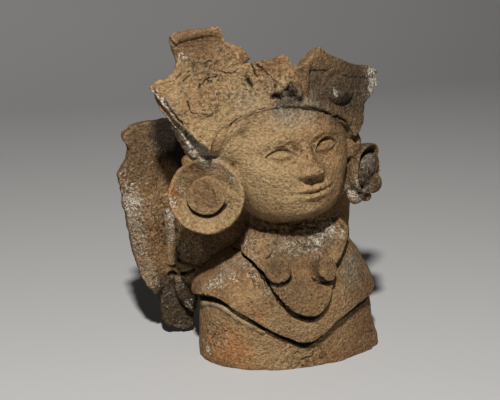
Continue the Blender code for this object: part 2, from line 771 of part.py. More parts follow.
def add_flange(clay):
    def place(reach, height, depth):
        wave = FLANGE_WAVE * math.sin(2 * math.pi * height / WAVE_LENGTH) * smooth_step(reach / WAVE_START)
        return jar_side(reach, height, JAR_MIDDLE_Y + depth + wave)

    half = FLANGE_THICKNESS / 2
    add_plate(clay, FLANGE_OUTLINE, -half, half, place)
    add_coil(clay, [jar_side(reach, height, JAR_MIDDLE_Y - half) for reach, height in FOLD], FOLD_RADIUS)


def add_tabs(clay):
    def place(inwards, height, y):
        return jar_side(-inwards, height, y)

    half = TAB_THICKNESS / 2
    for y, outline in ((BACK_TAB_Y, BACK_TAB_OUTLINE), (FRONT_TAB_Y, FRONT_TAB_OUTLINE)):
        add_plate(clay, outline, y - half, y + half, place)


def chest_hollow():
    """The room inside the figure's body, which closes like a dome towards the chest."""
    cutter = bmesh.new()
    rings = []
    for k in range(9):
        share = k / 8
        height = FLOOR + (BODY_HEIGHT * CHEST_HOLLOW_TOP_SHARE - FLOOR) * share
        middle, half_width, front, back = curve_at(BODY_KEYS, height)
        close = math.sqrt(1 - (CHEST_HOLLOW_CLOSE_SHARE * share**3) ** 2)
        ring = []
        for i in range(40):
            turn = 2 * math.pi * i / 40
            depth = front if math.cos(turn) > 0 else back
            x = middle + (half_width - BODY_WALL) * close * math.sin(turn)
            ring.append(Vector((x, -(depth - BODY_WALL) * close * math.cos(turn), height)))
        rings.append(ring)
    add_loft(cutter, rings)
    return cutter


def jar_hollow():
    """The room inside the jar, open at the rim."""
    cutter = bmesh.new()
    levels = list(JAR_HOLLOW_FOOT)
    levels += [(BAND_BOTTOM + (RIM_HEIGHT - BAND_BOTTOM) * k / 4, JAR_WALL) for k in range(5)]
    levels.append((RIM_HEIGHT + OVERCUT, JAR_WALL))
    add_loft(cutter, [jar_ring(height, -wall)[::2] for height, wall in levels])
    return cutter


def ground():
    cutter = bmesh.new()
    bmesh.ops.create_cube(cutter, size=1.0, matrix=Matrix.Translation((0, 0, -0.5)))
    return cutter


def clay_material():
    material = bpy.data.materials.new("fired_clay")
    material.use_nodes = True
    shader = material.node_tree.nodes["Principled BSDF"]
    shader.inputs["Base Color"].default_value = (0.26, 0.15, 0.075, 1.0)
    shader.inputs["Roughness"].default_value = 0.85
    shader.inputs["Metallic"].default_value = 0.0
    return material


def make_object(name, shape):
    bmesh.ops.recalc_face_normals(shape, faces=shape.faces[:])
    mesh = bpy.data.meshes.new(name)
    shape.to_mesh(mesh)
    shape.free()
    mesh.shade_smooth()
    piece = bpy.data.objects.new(name, mesh)
    bpy.context.scene.collection.objects.link(piece)
    return piece


def cut(piece, name, shape):
    cutter = make_object(name, shape)
    cutter.hide_render = True
    cutter.display_type = "WIRE"
    boolean = piece.modifiers.new(name, "BOOLEAN")
    boolean.operation = "DIFFERENCE"
    boolean.solver = "EXACT"
    boolean.object = cutter


def fuse(piece):
    """Makes the overlapping lumps one skin, then thins its facets out to the budget."""
    remesh = piece.modifiers.new("fuse", "REMESH")
    remesh.mode = "VOXEL"
    remesh.voxel_size = VOXEL
    soften = piece.modifiers.new("soften", "SMOOTH")
    soften.factor = 0.5
    soften.iterations = 2
    fused = piece.evaluated_get(bpy.context.evaluated_depsgraph_get())
    thin = piece.modifiers.new("thin", "DECIMATE")
    thin.ratio = min(1.0, FACET_BUDGET / (2 * len(fused.data.polygons)))


def main():
    for leftover in list(bpy.data.objects):
        bpy.data.objects.remove(leftover, do_unlink=True)
    clay = bmesh.new()
    add_body(clay)
    add_cape(clay)
    add_bib(clay)
    add_head(clay)
    add_headdress(clay)
    add_ear_disc(clay, RIGHT_DISC, DISC_RADIUS, WHOLE_LIP)
    add_ear_disc(clay, LEFT_DISC, LEFT_DISC_RADIUS, BROKEN_LIP)
    for middle, size in LEFT_DISC_LUMPS:
        add_ball(clay, disc_frame(LEFT_DISC) @ Matrix.Translation(middle), size)
    add_jar(clay)
    add_flange(clay)
    add_tabs(clay)
    urn = make_object("effigy_urn", clay)
    urn.data.materials.append(clay_material())
    fuse(urn)
    cut(urn, "chest_hollow", chest_hollow())
    cut(urn, "jar_hollow", jar_hollow())
    cut(urn, "ground", ground())


main()
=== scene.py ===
"""Effigy urn of fired clay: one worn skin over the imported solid, with a plain studio and a camera.

Metres, +Z up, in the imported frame. The skin is built from the same lumps of clay as the solid, finer, then
weathered, thinned out and hollowed. The figure faces -Y and its own right hand is at -X.
"""

import itertools
import json
import math

import bmesh
import bpy
import numpy as np
from mathutils import Matrix, Vector

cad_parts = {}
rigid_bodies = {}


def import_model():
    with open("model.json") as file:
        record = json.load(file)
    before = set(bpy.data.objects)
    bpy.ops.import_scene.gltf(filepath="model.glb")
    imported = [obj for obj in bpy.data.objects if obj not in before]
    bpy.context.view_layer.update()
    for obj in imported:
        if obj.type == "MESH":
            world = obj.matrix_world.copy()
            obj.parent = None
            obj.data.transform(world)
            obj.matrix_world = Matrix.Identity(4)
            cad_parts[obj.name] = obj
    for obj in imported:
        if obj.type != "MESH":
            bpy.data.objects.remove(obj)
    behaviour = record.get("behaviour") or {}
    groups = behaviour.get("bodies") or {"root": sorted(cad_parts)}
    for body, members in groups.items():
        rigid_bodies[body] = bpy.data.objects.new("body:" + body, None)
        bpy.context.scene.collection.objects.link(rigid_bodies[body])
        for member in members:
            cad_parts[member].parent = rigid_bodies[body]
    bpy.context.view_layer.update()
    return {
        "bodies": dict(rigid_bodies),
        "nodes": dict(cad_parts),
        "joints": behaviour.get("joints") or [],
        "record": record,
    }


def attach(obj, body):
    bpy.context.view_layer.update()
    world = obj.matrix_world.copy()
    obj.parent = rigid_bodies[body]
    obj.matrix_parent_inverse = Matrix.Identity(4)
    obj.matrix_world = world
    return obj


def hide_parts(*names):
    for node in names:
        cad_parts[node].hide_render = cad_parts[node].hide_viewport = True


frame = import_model()

MM = 0.001


def metres(pairs):
    return tuple(tuple(MM * value for value in pair) for pair in pairs)


# Jar behind the figure
JAR_HALF_WIDTH = 0.077
JAR_HALF_DEPTH = 0.0505
JAR_FRONT_Y = 0.0045
JAR_MIDDLE_Y = JAR_FRONT_Y + JAR_HALF_DEPTH
JAR_WALL = 0.009
RIM_HEIGHT = 0.180
RIM_FLARE = 0.002
BAND_BOTTOM = 0.053
BAND_HEIGHT = 0.014
BAND_PROUD = 0.003
# Section of the band, as shares of its height and of how proud it is
BAND_PROFILE = ((0.00, -0.70), (0.07, 0.80), (0.50, 1.00), (0.93, 0.80), (1.00, -0.70))
# Underside of the jar: height, then shares of the jar's middle y, half width and half depth
JAR_FOOT_LEVELS = ((0.000, 0.47, 0.62, 0.64), (0.030, 0.65, 0.74, 0.84), (0.046, 0.91, 0.90, 0.98))
# Foot of the room inside the jar: height, wall there
JAR_HOLLOW_FOOT = ((0.0145, 0.024), (0.0300, 0.010), (0.0420, 0.009))
OVERCUT = 0.004

# Figure's body. Each level: share of its height, then its middle x and half width as shares of the half
# width, and its depth in front and behind as shares of the depth
BODY_HEIGHT = 0.120
BODY_HALF_WIDTH = 0.0735
BODY_DEPTH = 0.050
BODY_LEVELS = (
    (0.000, 0.000, 1.000, 1.000, 1.200), (0.167, 0.000, 0.986, 1.000, 1.160),
    (0.333, -0.014, 0.973, 1.000, 1.120), (0.483, -0.041, 0.939, 0.980, 1.040),
    (0.600, -0.014, 0.823, 0.900, 0.960), (0.667, 0.027, 0.741, 0.840, 0.920),
    (0.733, 0.068, 0.626, 0.790, 0.840), (0.800, 0.082, 0.551, 0.740, 0.760),
    (0.875, 0.082, 0.503, 0.700, 0.720), (1.000, 0.068, 0.490, 0.680, 0.720),
)
NECK_HALF_WIDTH = 0.034
NECK_DEPTH = 0.030
BODY_WALL = 0.009
FLOOR = 0.010
CHEST_HOLLOW_TOP_SHARE = 0.617
CHEST_HOLLOW_CLOSE_SHARE = 0.93
FOOT_FLARE = 0.006
FOOT_FLARE_ANGLE = 72
FOOT_FLARE_SPREAD = 40
FOOT_FLARE_HEIGHT = 0.016

# Cape. Its hem: angle round the body from the front, in degrees, and share of the body's height
CAPE_THICKNESS = 0.006
CAPE_TOP_SHARE = 0.867
CAPE_HEM = (
    (-180, 0.417), (-120, 0.417), (-95, 0.440), (-68, 0.482), (-53, 0.459), (-34, 0.350), (-17, 0.250),
    (-3, 0.188), (8, 0.234), (17, 0.301), (29, 0.354), (46, 0.385), (110, 0.408), (180, 0.417),
)
# Groove that undercuts a hem: depth, height, and how far it goes on above the hem, on the body and on a layer
UNDERCUT = 0.0050
UNDERCUT_HEIGHT = 0.0050
BODY_GROOVE = 0.010
LAYER_GROOVE = 0.004
# Largest rounding of a hem
HEM_ROUNDING = 0.004
# Thin strip of clay on the body below the hem: angle and share of the height
STRIP_RADIUS = 0.0021
STRIP_SINK = 0.0003
STRIP = ((-86, 0.390), (-73, 0.421), (-62, 0.420), (-54, 0.392), (-46, 0.345), (-37, 0.303), (-29, 0.264))

# Bib over the cape, with a round pendant below
BIB_THICKNESS = 0.0055
BIB_TOP_SHARE = 0.942
BIB_TOP_PROUD = 0.001
BIB_END_ANGLE = 24
BIB_END_SHARE = 0.15
BIB_EDGE = (
    (-84, 0.768), (-61, 0.739), (-45, 0.702), (-32, 0.647), (-18, 0.513), (-9, 0.419), (-2, 0.388),
    (4, 0.398), (9.5, 0.450), (13.5, 0.529), (14.5, 0.608), (16.5, 0.683), (22, 0.725), (30, 0.775),
    (40, 0.825), (54, 0.858),
)
PELLET_THICKNESS = 0.0096
PELLET_SINK = 0.0025
PELLET_RISE = 18
PELLET_PROFILE = (
    (0.84, -1.00), (0.84, 0.30), (0.99, 0.52), (0.98, 0.72), (0.86, 0.90), (0.60, 0.98), (0.25, 1.00),
)
PELLETS = ((-27.0, 0.685, 0.0105, 0.0108, -20), (6.4, 0.673, 0.0085, 0.0103, 22))
# Roll of clay round the neck, in millimetres
COLLAR_RADIUS = 0.0026
COLLAR = metres((
    (-30, -33, 91), (-22, -35.6, 94.6), (-15.3, -36, 96.6), (-7.4, -37, 97.7), (0.4, -37.6, 97.3),
    (8.3, -38.4, 94.5), (13, -38.5, 91.5),
))
LAPPET_RADIUS = 0.0055
LAPPET = ((44, 0.883), (36, 0.842), (27, 0.783), (16, 0.708))

# Head, thrown back and turned a little. Levels are shares of its half height, half width and depth
HEAD_RISE = 0.041
HEAD_CENTRE = Vector((-0.008, -0.010, BODY_HEIGHT + HEAD_RISE))
HEAD_YAW = 3
HEAD_TILT_BACK = 14
HEAD_ROLL = 6
HEAD_HALF_HEIGHT = 0.048
HEAD_HALF_WIDTH = 0.051
HEAD_DEPTH = 0.046
HEAD_LEVELS = (
    (-1.00, 0.22, 0.42, 0.16), (-0.96, 0.40, 0.62, 0.24), (-0.84, 0.60, 0.80, 0.34),
    (-0.63, 0.77, 0.90, 0.42), (-0.31, 0.90, 0.96, 0.46), (0.00, 0.97, 0.99, 0.48),
    (0.31, 1.00, 1.00, 0.48), (0.63, 1.01, 0.98, 0.48), (0.88, 0.98, 0.93, 0.46), (1.02, 0.90, 0.84, 0.42),
    (1.14, 0.70, 0.64, 0.34), (1.22, 0.34, 0.34, 0.20),
)
HEAD_SQUARENESS = 2.4

# Face relief, of a plain and calm design. Lengths are shares of the head's half height or the eye's size
EYE_APART = 0.40
EYE_HEIGHT = 0.12
EYE_SLANT = 0.06
EYE_HALF_WIDTH = 0.225
EYE_HALF_HEIGHT = 0.112
EYE_PROUD = 0.085
LID_PROUD = 0.055
CREASE_DEPTH = 0.048
BROW_HEIGHT = 0.33
BROW_ARCH = 0.42
BROW_PROUD = 0.070
NOSE_TOP = 0.32
NOSE_BASE = -0.33
NOSE_PROUD = 0.27
NOSE_CHIP = 0.225
MOUTH_HEIGHT = -0.56
MOUTH_HALF_WIDTH = 0.31
MOUTH_CURVE = 0.035
LIP_APART = 0.062
LIP_PROUD = 0.075
PARTING_DEPTH = 0.085
# Sockets, nostrils, cheeks, muzzle and chin. Each: place across, its spread, place up, its spread, proud
FACE_SWELLS = (
    (EYE_APART, 0.26, EYE_HEIGHT, 0.16, -0.120), (0.155, 0.075, -0.25, 0.085, 0.100),
    (0.52, 0.26, -0.20, 0.24, 0.045), (0.00, 0.36, MOUTH_HEIGHT, 0.20, 0.055),
    (0.00, 0.035, -0.43, 0.060, -0.028), (0.34, 0.040, MOUTH_HEIGHT + 0.03, 0.040, -0.030),
    (0.00, 0.24, -0.88, 0.13, 0.075),
)

# Headdress: a slab bent round the brow. u runs round it and v up from the head's centre. Outlines are in mm
BROW_RADIUS = 0.070
BROW_ANGLE = 16
BROW_FRONT = 0.047
SLAB_THICKNESS = 0.009
SLAB_OVERLAP = 0.002
BACK_SLAB_THICKNESS = 0.008
BAND_EDGE_MIDDLE = -0.022
BAND_EDGE_TOP = 0.0414
BAND_EDGE_BOW = 5.56
BAND_EDGE_ENDS = (-0.0648, 0.0461)
SLAB_OUTLINE = metres((
    (-71.4, 19.8), (-76, 24.3), (-82.5, 32.9), (-88.2, 41.3), (-95.2, 51.7), (-100.4, 61.7), (-105.1, 69.9),
    (-106.1, 73.7), (-102, 76.4), (-97.3, 77.3), (-93.4, 76.6), (-88.6, 80.2), (-84.6, 84.8), (-83.2, 89),
    (-84.4, 96.4), (-84.8, 103.7), (-84.4, 107.5), (-81, 109.2), (-63.9, 108.4), (-47.8, 107.5),
    (-46.4, 105.4), (-46.5, 100.1), (-44.7, 95.2), (-40.4, 93.9), (-34.7, 90.6), (-31.8, 86.5),
    (-29.9, 82.5), (-28, 80.2), (-32, 79.6), (-33.5, 78.4), (-28.1, 77.4), (-22.5, 75.5), (0, 69),
    (8.7, 67), (13.7, 71.1), (21.8, 74.6), (26.3, 77.6), (30.7, 80.2), (38.9, 73.1), (45.6, 69.4),
    (54.6, 64.4), (64, 60.2), (76.8, 58.8), (83.8, 54.5), (84.7, 49.6), (82, 42.3), (73.6, 35.9),
    (65.6, 30.5), (62.2, 24.4), (59.1, 15.4), (55.4, 11.2), (49.2, 7.6),
))
BACK_SLAB_OUTLINE = metres((
    (-90.5, 36.5), (-93.8, 41.5), (-98.7, 52.4), (-103.2, 61.4), (-104, 68), (-99, 72), (-50, 72),
    (-45, 22), (-58, 24), (-74, 40),
))
STRAP_FRONT = -0.0185
STRAP_THICKNESS = 0.0145
STRAP_LEAN = 0.22
STRAP_OUTLINE = metres((
    (-89, 43.5), (-83.5, 33.5), (-79.5, 24.5), (-78.5, 18.5), (-73, 15.5), (-60, 15), (-58, 20), (-56, 26),
    (-54, 45),
))
CREST_OUTLINE = metres((
    (-27, 77.5), (-20, 78), (-15.3, 77), (-12.7, 76), (-9.4, 78.3), (-5.3, 79.7), (-2.2, 77.4),
    (-0.7, 73.1), (0.7, 70.5), (8.7, 68.6), (8.8, 49.9), (-6, 50),
))
CREST_PROUD = 0.0025
RIDGE_OUTLINE = metres((
    (13.1, 63.5), (20, 62.4), (28.5, 61.6), (35, 62.5), (47.5, 56.6), (59.3, 52.4), (70, 51), (79, 50),
    (82, 54), (76, 57.8), (64, 59), (54.6, 63.2), (45.6, 68.2), (38.9, 71.8), (30.7, 78.6), (21.8, 73.6),
    (14, 70),
))
RIDGE_PROUD = 0.0011
TAB_ROLL_RADII = (0.0042, 0.0027)
TAB_ROLL_DEPTH = 0.0010
TAB_ROLL = ((-0.0822, 0.1042), (-0.0790, 0.1060), (-0.0650, 0.1060), (-0.0495, 0.1050))
# Hollow below the roll: height of its middle, half height and depth
TAB_HOLLOW = (0.0950, 0.0110, 0.0040)
TAB_EDGE = -0.044
TAB_EDGE_FADE = 0.006
BROW_ROLL_RADIUS = 0.0040
BROW_ROLL_DEPTH = 0.0010
BROW_ROLL = (0.004, 0.046)
FURROW_ROLL_RADIUS = 0.0040
FURROW_ROLL_DEPTH = 0.0010
FURROW_ROLL = ((0.0040, 0.0440), (0.0065, 0.0500), (0.0095, 0.0570), (0.0110, 0.0630), (0.0140, 0.0690))
WING_DISC_PROFILE = ((1.00, -1.00), (1.00, 0.30), (0.96, 0.70), (0.86, 0.95), (0.60, 1.02), (0.30, 1.05))
# Each: u, v, radius, share of it across, and proud
WING_DISCS = ((-0.0696, 0.0548, 0.0112, 1.0, 0.0021), (0.0400, 0.0452, 0.0108, 1.18, 0.0042))
# Halo above and beside the right disc: its radius, its roll's radius and depth, then from and to angles
HALO = (0.0150, 0.0034, 0.0022)
HALO_ANGLES = (50, 215)
# Lumps of the broken stub: u, v, depth, then half sizes across, through and up
STUB_LUMPS = metres((
    (-9.3, 57.2, -2, 4.8, 6.5, 4.8), (-13.6, 52.8, -1.6, 4, 5.4, 4), (1, 49.6, -1.2, 3.2, 4.6, 5.2),
    (-7.5, 50, -0.5, 7.5, 4, 7), (-9, 43.5, 1.6, 8.5, 3.4, 3),
))
# Lumps of the crown and the temples, then of the clay that joins the headdress, the head and the ear discs:
# middle and half sizes in the head's own frame, in millimetres
HEAD_LUMPS = metres((
    (0, -12, 36, 50, 27, 28), (-46, 2, 10, 11, 18, 26), (46, 2, 8, 11, 18, 26),
    (49.5, -19, 3, 10, 9.5, 13.5), (-44, -8, 24, 20, 22.5, 22), (-60, -15, 29, 12, 15, 13.5),
    (-66, 0, 14, 17, 11, 8.5),
))
# Fillet between brow and headdress: from and to u, how far below its edge, depth, radius at either end
FILLET = (-0.062, -0.004)
FILLET_DROP = 0.0035
FILLET_DEPTH = 0.0088
FILLET_RADII = (0.0074, 0.0066)
# Places smoothed over like pressed clay: x, y, z and radius in millimetres, and how much
SMOOTHED = (
    (-54, -37, 175, 9, 1), (-47, -40, 178, 8, 1), (-66, -24, 176, 7, 1), (44, -34, 170, 8, 1),
    (46, -28, 160, 7, 1),
)
FILLET_SMOOTHED = 6.0
FILLET_SMOOTHED_DEPTH = 0.004
LEAST_SMOOTHED = 0.02

# Ear discs. Each: place in the head's own frame, turn of its face from the front and upwards, in degrees
DISC_RADIUS = 0.0295
DISC_THICKNESS = 0.013
DISC_STEM_RADIUS = 0.014
STEM_START = 0.35
STEM_SETBACK = 0.008
BOSS_RADIUS = 0.0150
# Half section of a disc: its back and lip as a share of its radius, then the dish as a share of the way to
# the boss, and the boss as a share of its own radius. Heights are shares of the thickness
DISC_BACK = (
    (0.55, 0.00), (0.85, 0.08), (0.96, 0.36), (1.00, 0.66), (0.99, 0.85), (0.965, 0.97), (0.93, 1.00),
)
DISC_DISH = ((0.08, 0.96), (0.20, 0.84), (0.45, 0.66), (0.75, 0.56), (0.95, 0.53))
DISC_BOSS = ((0.93, 0.54), (1.00, 0.72), (0.99, 0.84), (0.91, 0.92), (0.60, 0.96), (0.30, 0.98))
RIGHT_DISC = (Vector((-0.0695, -0.005, -0.0142)), -26, 8)
LEFT_DISC = (Vector((0.0640, -0.008, -0.0236)), 38, 4)
LEFT_DISC_RADIUS = 0.0235
# Lumps of the broken left disc, low on its boss and below its stem: middle and half sizes in the disc's frame
LEFT_DISC_LUMPS = metres((
    (4.5, -10, 12, 8.5, 7.8, 5.5), (-8, -16, 3, 12, 8.5, 6), (2, -21, 6, 6, 3.5, 3.5),
    (1, 6, 11.8, 12, 9, 3),
))
# How much is left of a lip. Each key: angle round the face, anticlockwise from its right, and the share left
WHOLE_LIP = ((0, 1.0), (360, 1.0))
BROKEN_LIP = (
    (0, 0.15), (34, 0.20), (52, 0.95), (75, 1.00), (185, 1.00), (208, 0.80), (228, 0.40), (262, 0.20),
    (300, 0.10), (360, 0.15),
)

# Side flange: reach out from the jar's side, and height, in millimetres
FLANGE_THICKNESS = 0.009
FLANGE_OUTLINE = metres((
    (-4, 48), (5, 50.9), (9, 45.9), (14, 44.4), (19, 40.1), (21.4, 41), (26.5, 47), (31.4, 56.1),
    (35.2, 69.2), (37.9, 82.1), (39.7, 92.7), (41.4, 105.2), (44.1, 117.8), (44.4, 126), (46.5, 136.3),
    (46.7, 142.4), (43.1, 149.1), (39.6, 154.8), (38.8, 162.7), (42, 170), (43, 175), (42.3, 178.9),
    (36.2, 182.4), (25.2, 184.1), (13.1, 184.6), (6.1, 185.1), (-4, 183),
))
FLANGE_WAVE = 0.0012
WAVE_LENGTH = 0.060
WAVE_START = 0.030
# Swell down the flange's middle and the groove beside it: reach, half width and how far they come forwards
FLANGE_SWELLS = metres(((24.0, 11.0, 3.6), (12.5, 4.0, -1.6), (41.0, 6.0, -1.5)))
SWELL_TOP = 0.172
SWELL_FADE = 0.025
FOLD_RADIUS = 0.0048
FOLD = ((0.0085, 0.1250), (0.0065, 0.1040), (0.0055, 0.0840), (0.0050, 0.0640))

# Hanging tabs under the jar's side: distance inwards from the jar's side, and height, in millimetres
TAB_THICKNESS = 0.009
BACK_TAB_Y = 0.056
BACK_TAB_OUTLINE = metres((
    (4, 60), (-5.1, 53.7), (-10.5, 46.8), (-13.4, 38.6), (-14, 28), (-13, 14.8), (-8.1, 7.5), (-1.7, 6.7),
    (4.6, 2.8), (13.3, 5.7), (13.4, 17.8), (16, 60),
))
FRONT_TAB_Y = 0.047
FRONT_TAB_OUTLINE = metres((
    (-4, 60), (-4.4, 52), (-3.1, 44.4), (0.6, 34.3), (4.7, 27.3), (10.6, 21.7), (13, 27), (14, 34),
    (14, 60),
))

# Cracks: half width and depth in mm, how dark, then the points they run through, as u and v on the headdress
HEADDRESS_CRACKS = (
    (1.4, 2.8, 1, ((-35, 69), (-34.4, 67.2), (-33.7, 64.6), (-32.4, 61.1), (-30.4, 58.6))),
    (0.7, 1.3, 0.8, ((-72.8, 67), (-67.8, 69.5), (-65, 71.1), (-60.4, 72.4), (-56.7, 72.7), (-53.1, 74.9))),
    (0.6, 1, 0.7, ((-54.1, 74.8), (-50.6, 74.4), (-45.8, 73.4), (-42.9, 73.6), (-38.2, 76.2))),
    (0.7, 1.1, 0.8, ((-66.5, 71.8), (-62.3, 69.7), (-56, 72.2))),
    (0.6, 0.8, 0.7, ((-87.9, 76), (-83.7, 78.3), (-80.1, 79.6))),
    (0.6, 0.8, 0.7, ((-82.6, 72.8), (-77.3, 75.5), (-72.7, 77.9))),
    (0.5, 0.7, 0.6, ((-65.5, 83.2), (-60.4, 84.6), (-54.8, 82.9))),
    (0.7, 1, 0.6, ((-80.9, 61.5), (-81.4, 56.3), (-79.1, 50.9), (-74, 47.8), (-68, 45.3), (-63.3, 47.6),
        (-59, 52.3))),
    (0.7, 1.8, 1.4, ((-28.9, 77.5), (-28.5, 74.8), (-27.7, 69), (-24.6, 62.7), (-21.6, 59.2),
        (-18.6, 54.9))),
    (0.4, 0.6, 0.5, ((-30.6, 57.6), (-27, 53.9), (-23, 50.9))),
    (0.7, 1.5, 1, ((-37.2, 78), (-31, 78.6))),
    (0.8, 1.6, 0.8, ((-104.9, 71.7), (-100.1, 67.2), (-96.7, 63), (-95.1, 57), (-90.5, 47.7), (-86.1, 40))),
    (0.6, 0.7, 0.7, ((-54.7, 32.5), (-51.6, 36.4), (-45.9, 38.8), (-37, 41), (-32.3, 42.2), (-22.5, 42))),
    (1, 1.8, 1, ((6.6, 37.4), (13.7, 34.8), (23, 31), (32.5, 26.4), (39.2, 21.5), (44.6, 18))),
    (0.6, 0.9, 0.6, ((13, 63), (20.1, 62.6), (27.1, 61.6), (36.9, 62.6), (41.3, 61))),
    (1.7, 1.6, 0.45, ((17, 66), (16.6, 62.4), (15, 57.2), (12, 52))),
    (0.6, 0.8, 0.5, ((7, 71), (4.5, 67), (3.7, 65.6), (3, 59.5))),
)
# The others' points are x, y and z in millimetres
SKIN_CRACKS = (
    (0.9, 1.6, 1, ((-46.9, 14.9, 91.1), (-43, -2, 87.8), (-42.3, -13, 87.4), (-38, -27.4, 83.8))),
    (0.6, 1, 0.9, ((-38, -27.4, 83.8), (-34.7, -40.4, 73.8), (-31.9, -45.5, 67.2), (-28.2, -47.7, 64))),
    (0.5, 0.8, 0.8, ((-28.2, -47.7, 64), (-25.8, -51.4, 57), (-21.2, -53.7, 50.3))),
    (0.6, 0.9, 0.7, ((-70.4, -12.1, 19.6), (-67.6, -17.7, 24.3), (-64.5, -22.6, 27), (-60.2, -27.2, 31.7))),
    (0.4, 0.7, 0.6, ((-67.6, -17.8, 32.8), (-67, -18.5, 28.7), (-67.4, -18.1, 24.4))),
    (0.6, 1.1, 0.9, ((-8.5, -49.7, 6.5), (-3.9, -50, 8.3), (0.9, -50, 9.4), (6.9, -50, 10.9))),
    (0.5, 0.8, 0.8, ((-14.6, -49.5, 11.3), (-10.6, -49.9, 14.3), (-5.6, -50.2, 15.4))),
    (0.4, 0.7, 0.6, ((-36.5, -42.7, 19.3), (-34.6, -43.7, 20.3), (-30.5, -45, 22))),
    (0.5, 0.9, 0.7, ((-34.7, -35.4, 89.5), (-30.3, -37.6, 90.8), (-25.5, -37.2, 93.5))),
    (0.4, 0.7, 0.6, ((-39.8, -22.3, 95.8), (-37.2, -28.8, 93.4), (-33.2, -31.3, 94.6))),
    (0.6, 0.9, 0.8, ((-30.5, 8, 106.5), (-28.8, -19.5, 106))),
    (0.6, 0.9, 0.8, ((-30.7, -24.4, 115.3), (-17.4, -29, 107.6))),
    (0.6, 0.9, 0.8, ((-17, -32.3, 115.2), (1, -35.1, 109.1))),
    (0.6, 0.9, 0.8, ((-5.8, -35.3, 114), (11.9, -35.3, 108.8))),
    (0.6, 0.9, 0.8, ((-22.3, -30.8, 115.4), (-29, -20.1, 105.4))),
    (0.6, 0.9, 0.8, ((-4.2, -34.5, 115.1), (-11.8, -31.7, 106.6))),
    (0.5, 0.9, 0.8, ((-100.2, 49.3, 110.4), (-97.9, 49, 106.9), (-96.2, 49.1, 101.5))),
    (1.4, 4, 1, ((-87.4, 50.7, 54.2), (-81.5, 49.9, 55.5), (-79.9, 45, 56.6), (-77.8, 42.1, 57))),
    (1.4, 4, 1, ((-78.4, 43, 56.8), (-75.7, 37.6, 58), (-72.3, 32, 62.1), (-69, 28, 64.5))),
)
# Dents: place, radius and depth in millimetres, first as u and v on the headdress, then as x, y and z
HEADDRESS_DENTS = (
    (-4.6, 49.2, 3.4, 6), (-3.6, 54, 1.8, 2.4), (-17.6, 49.6, 2, 2.6), (-11.8, 47.2, 2.2, 3),
)
SKIN_DENTS = (
    (19.3, -50.3, 82.3, 2.4, 3), (-98.5, 49.2, 109.5, 2, 1.6), (52, -27, 137, 4, 3),
)
# Rough, broken or scratched places: x, y, z and radius in millimetres, then how rough
ROUGH_SPOTS = (
    (-102, 5, 225, 9, 1), (-96, 3, 214, 9, 1), (-92, 0, 204, 9, 1), (-85, -5, 195, 9, 1),
    (-78, -10, 186, 9, 0.9), (-66, -30, 232, 24, 0.55), (-46, -38, 236, 18, 0.45), (-20, -47, 221, 11, 1.3),
    (-90, -18, 190, 10, 1.2), (-82, -20, 180, 9, 1), (-98, -24, 200, 9, 1.2), (56, -24, 139, 11, 1.3),
    (58, -26, 150, 9, 0.5), (60, -20, 164, 10, 0.6), (46, -28, 167, 9, 0.6), (-25, -18, 110, 15, 1.2),
    (-10, -30, 110, 15, 1.2), (8, -33, 110, 15, 1.2), (24, -30, 108, 12, 1), (-36, -25, 94, 14, 0.7),
    (-28, -48, 66, 10, 0.7), (-36, -36, 76, 9, 0.8), (-4, -50, 10, 16, 0.8), (-66, -20, 27, 12, 0.7),
    (60, -30, 4, 12, 0.8), (-88, 52, 30, 22, 0.8), (-78, 50, 8, 12, 1.2), (-101, 50, 46, 14, 1),
    (-118, 50, 120, 16, 0.7), (-112, 50, 85, 18, 0.6), (-104, 50, 150, 20, 0.4), (-84, 46, 95, 12, 0.9),
    (-83, 46, 118, 10, 0.9), (-74, 36, 84, 16, 0.6), (-2, -57, 176, 9, 0.5),
)
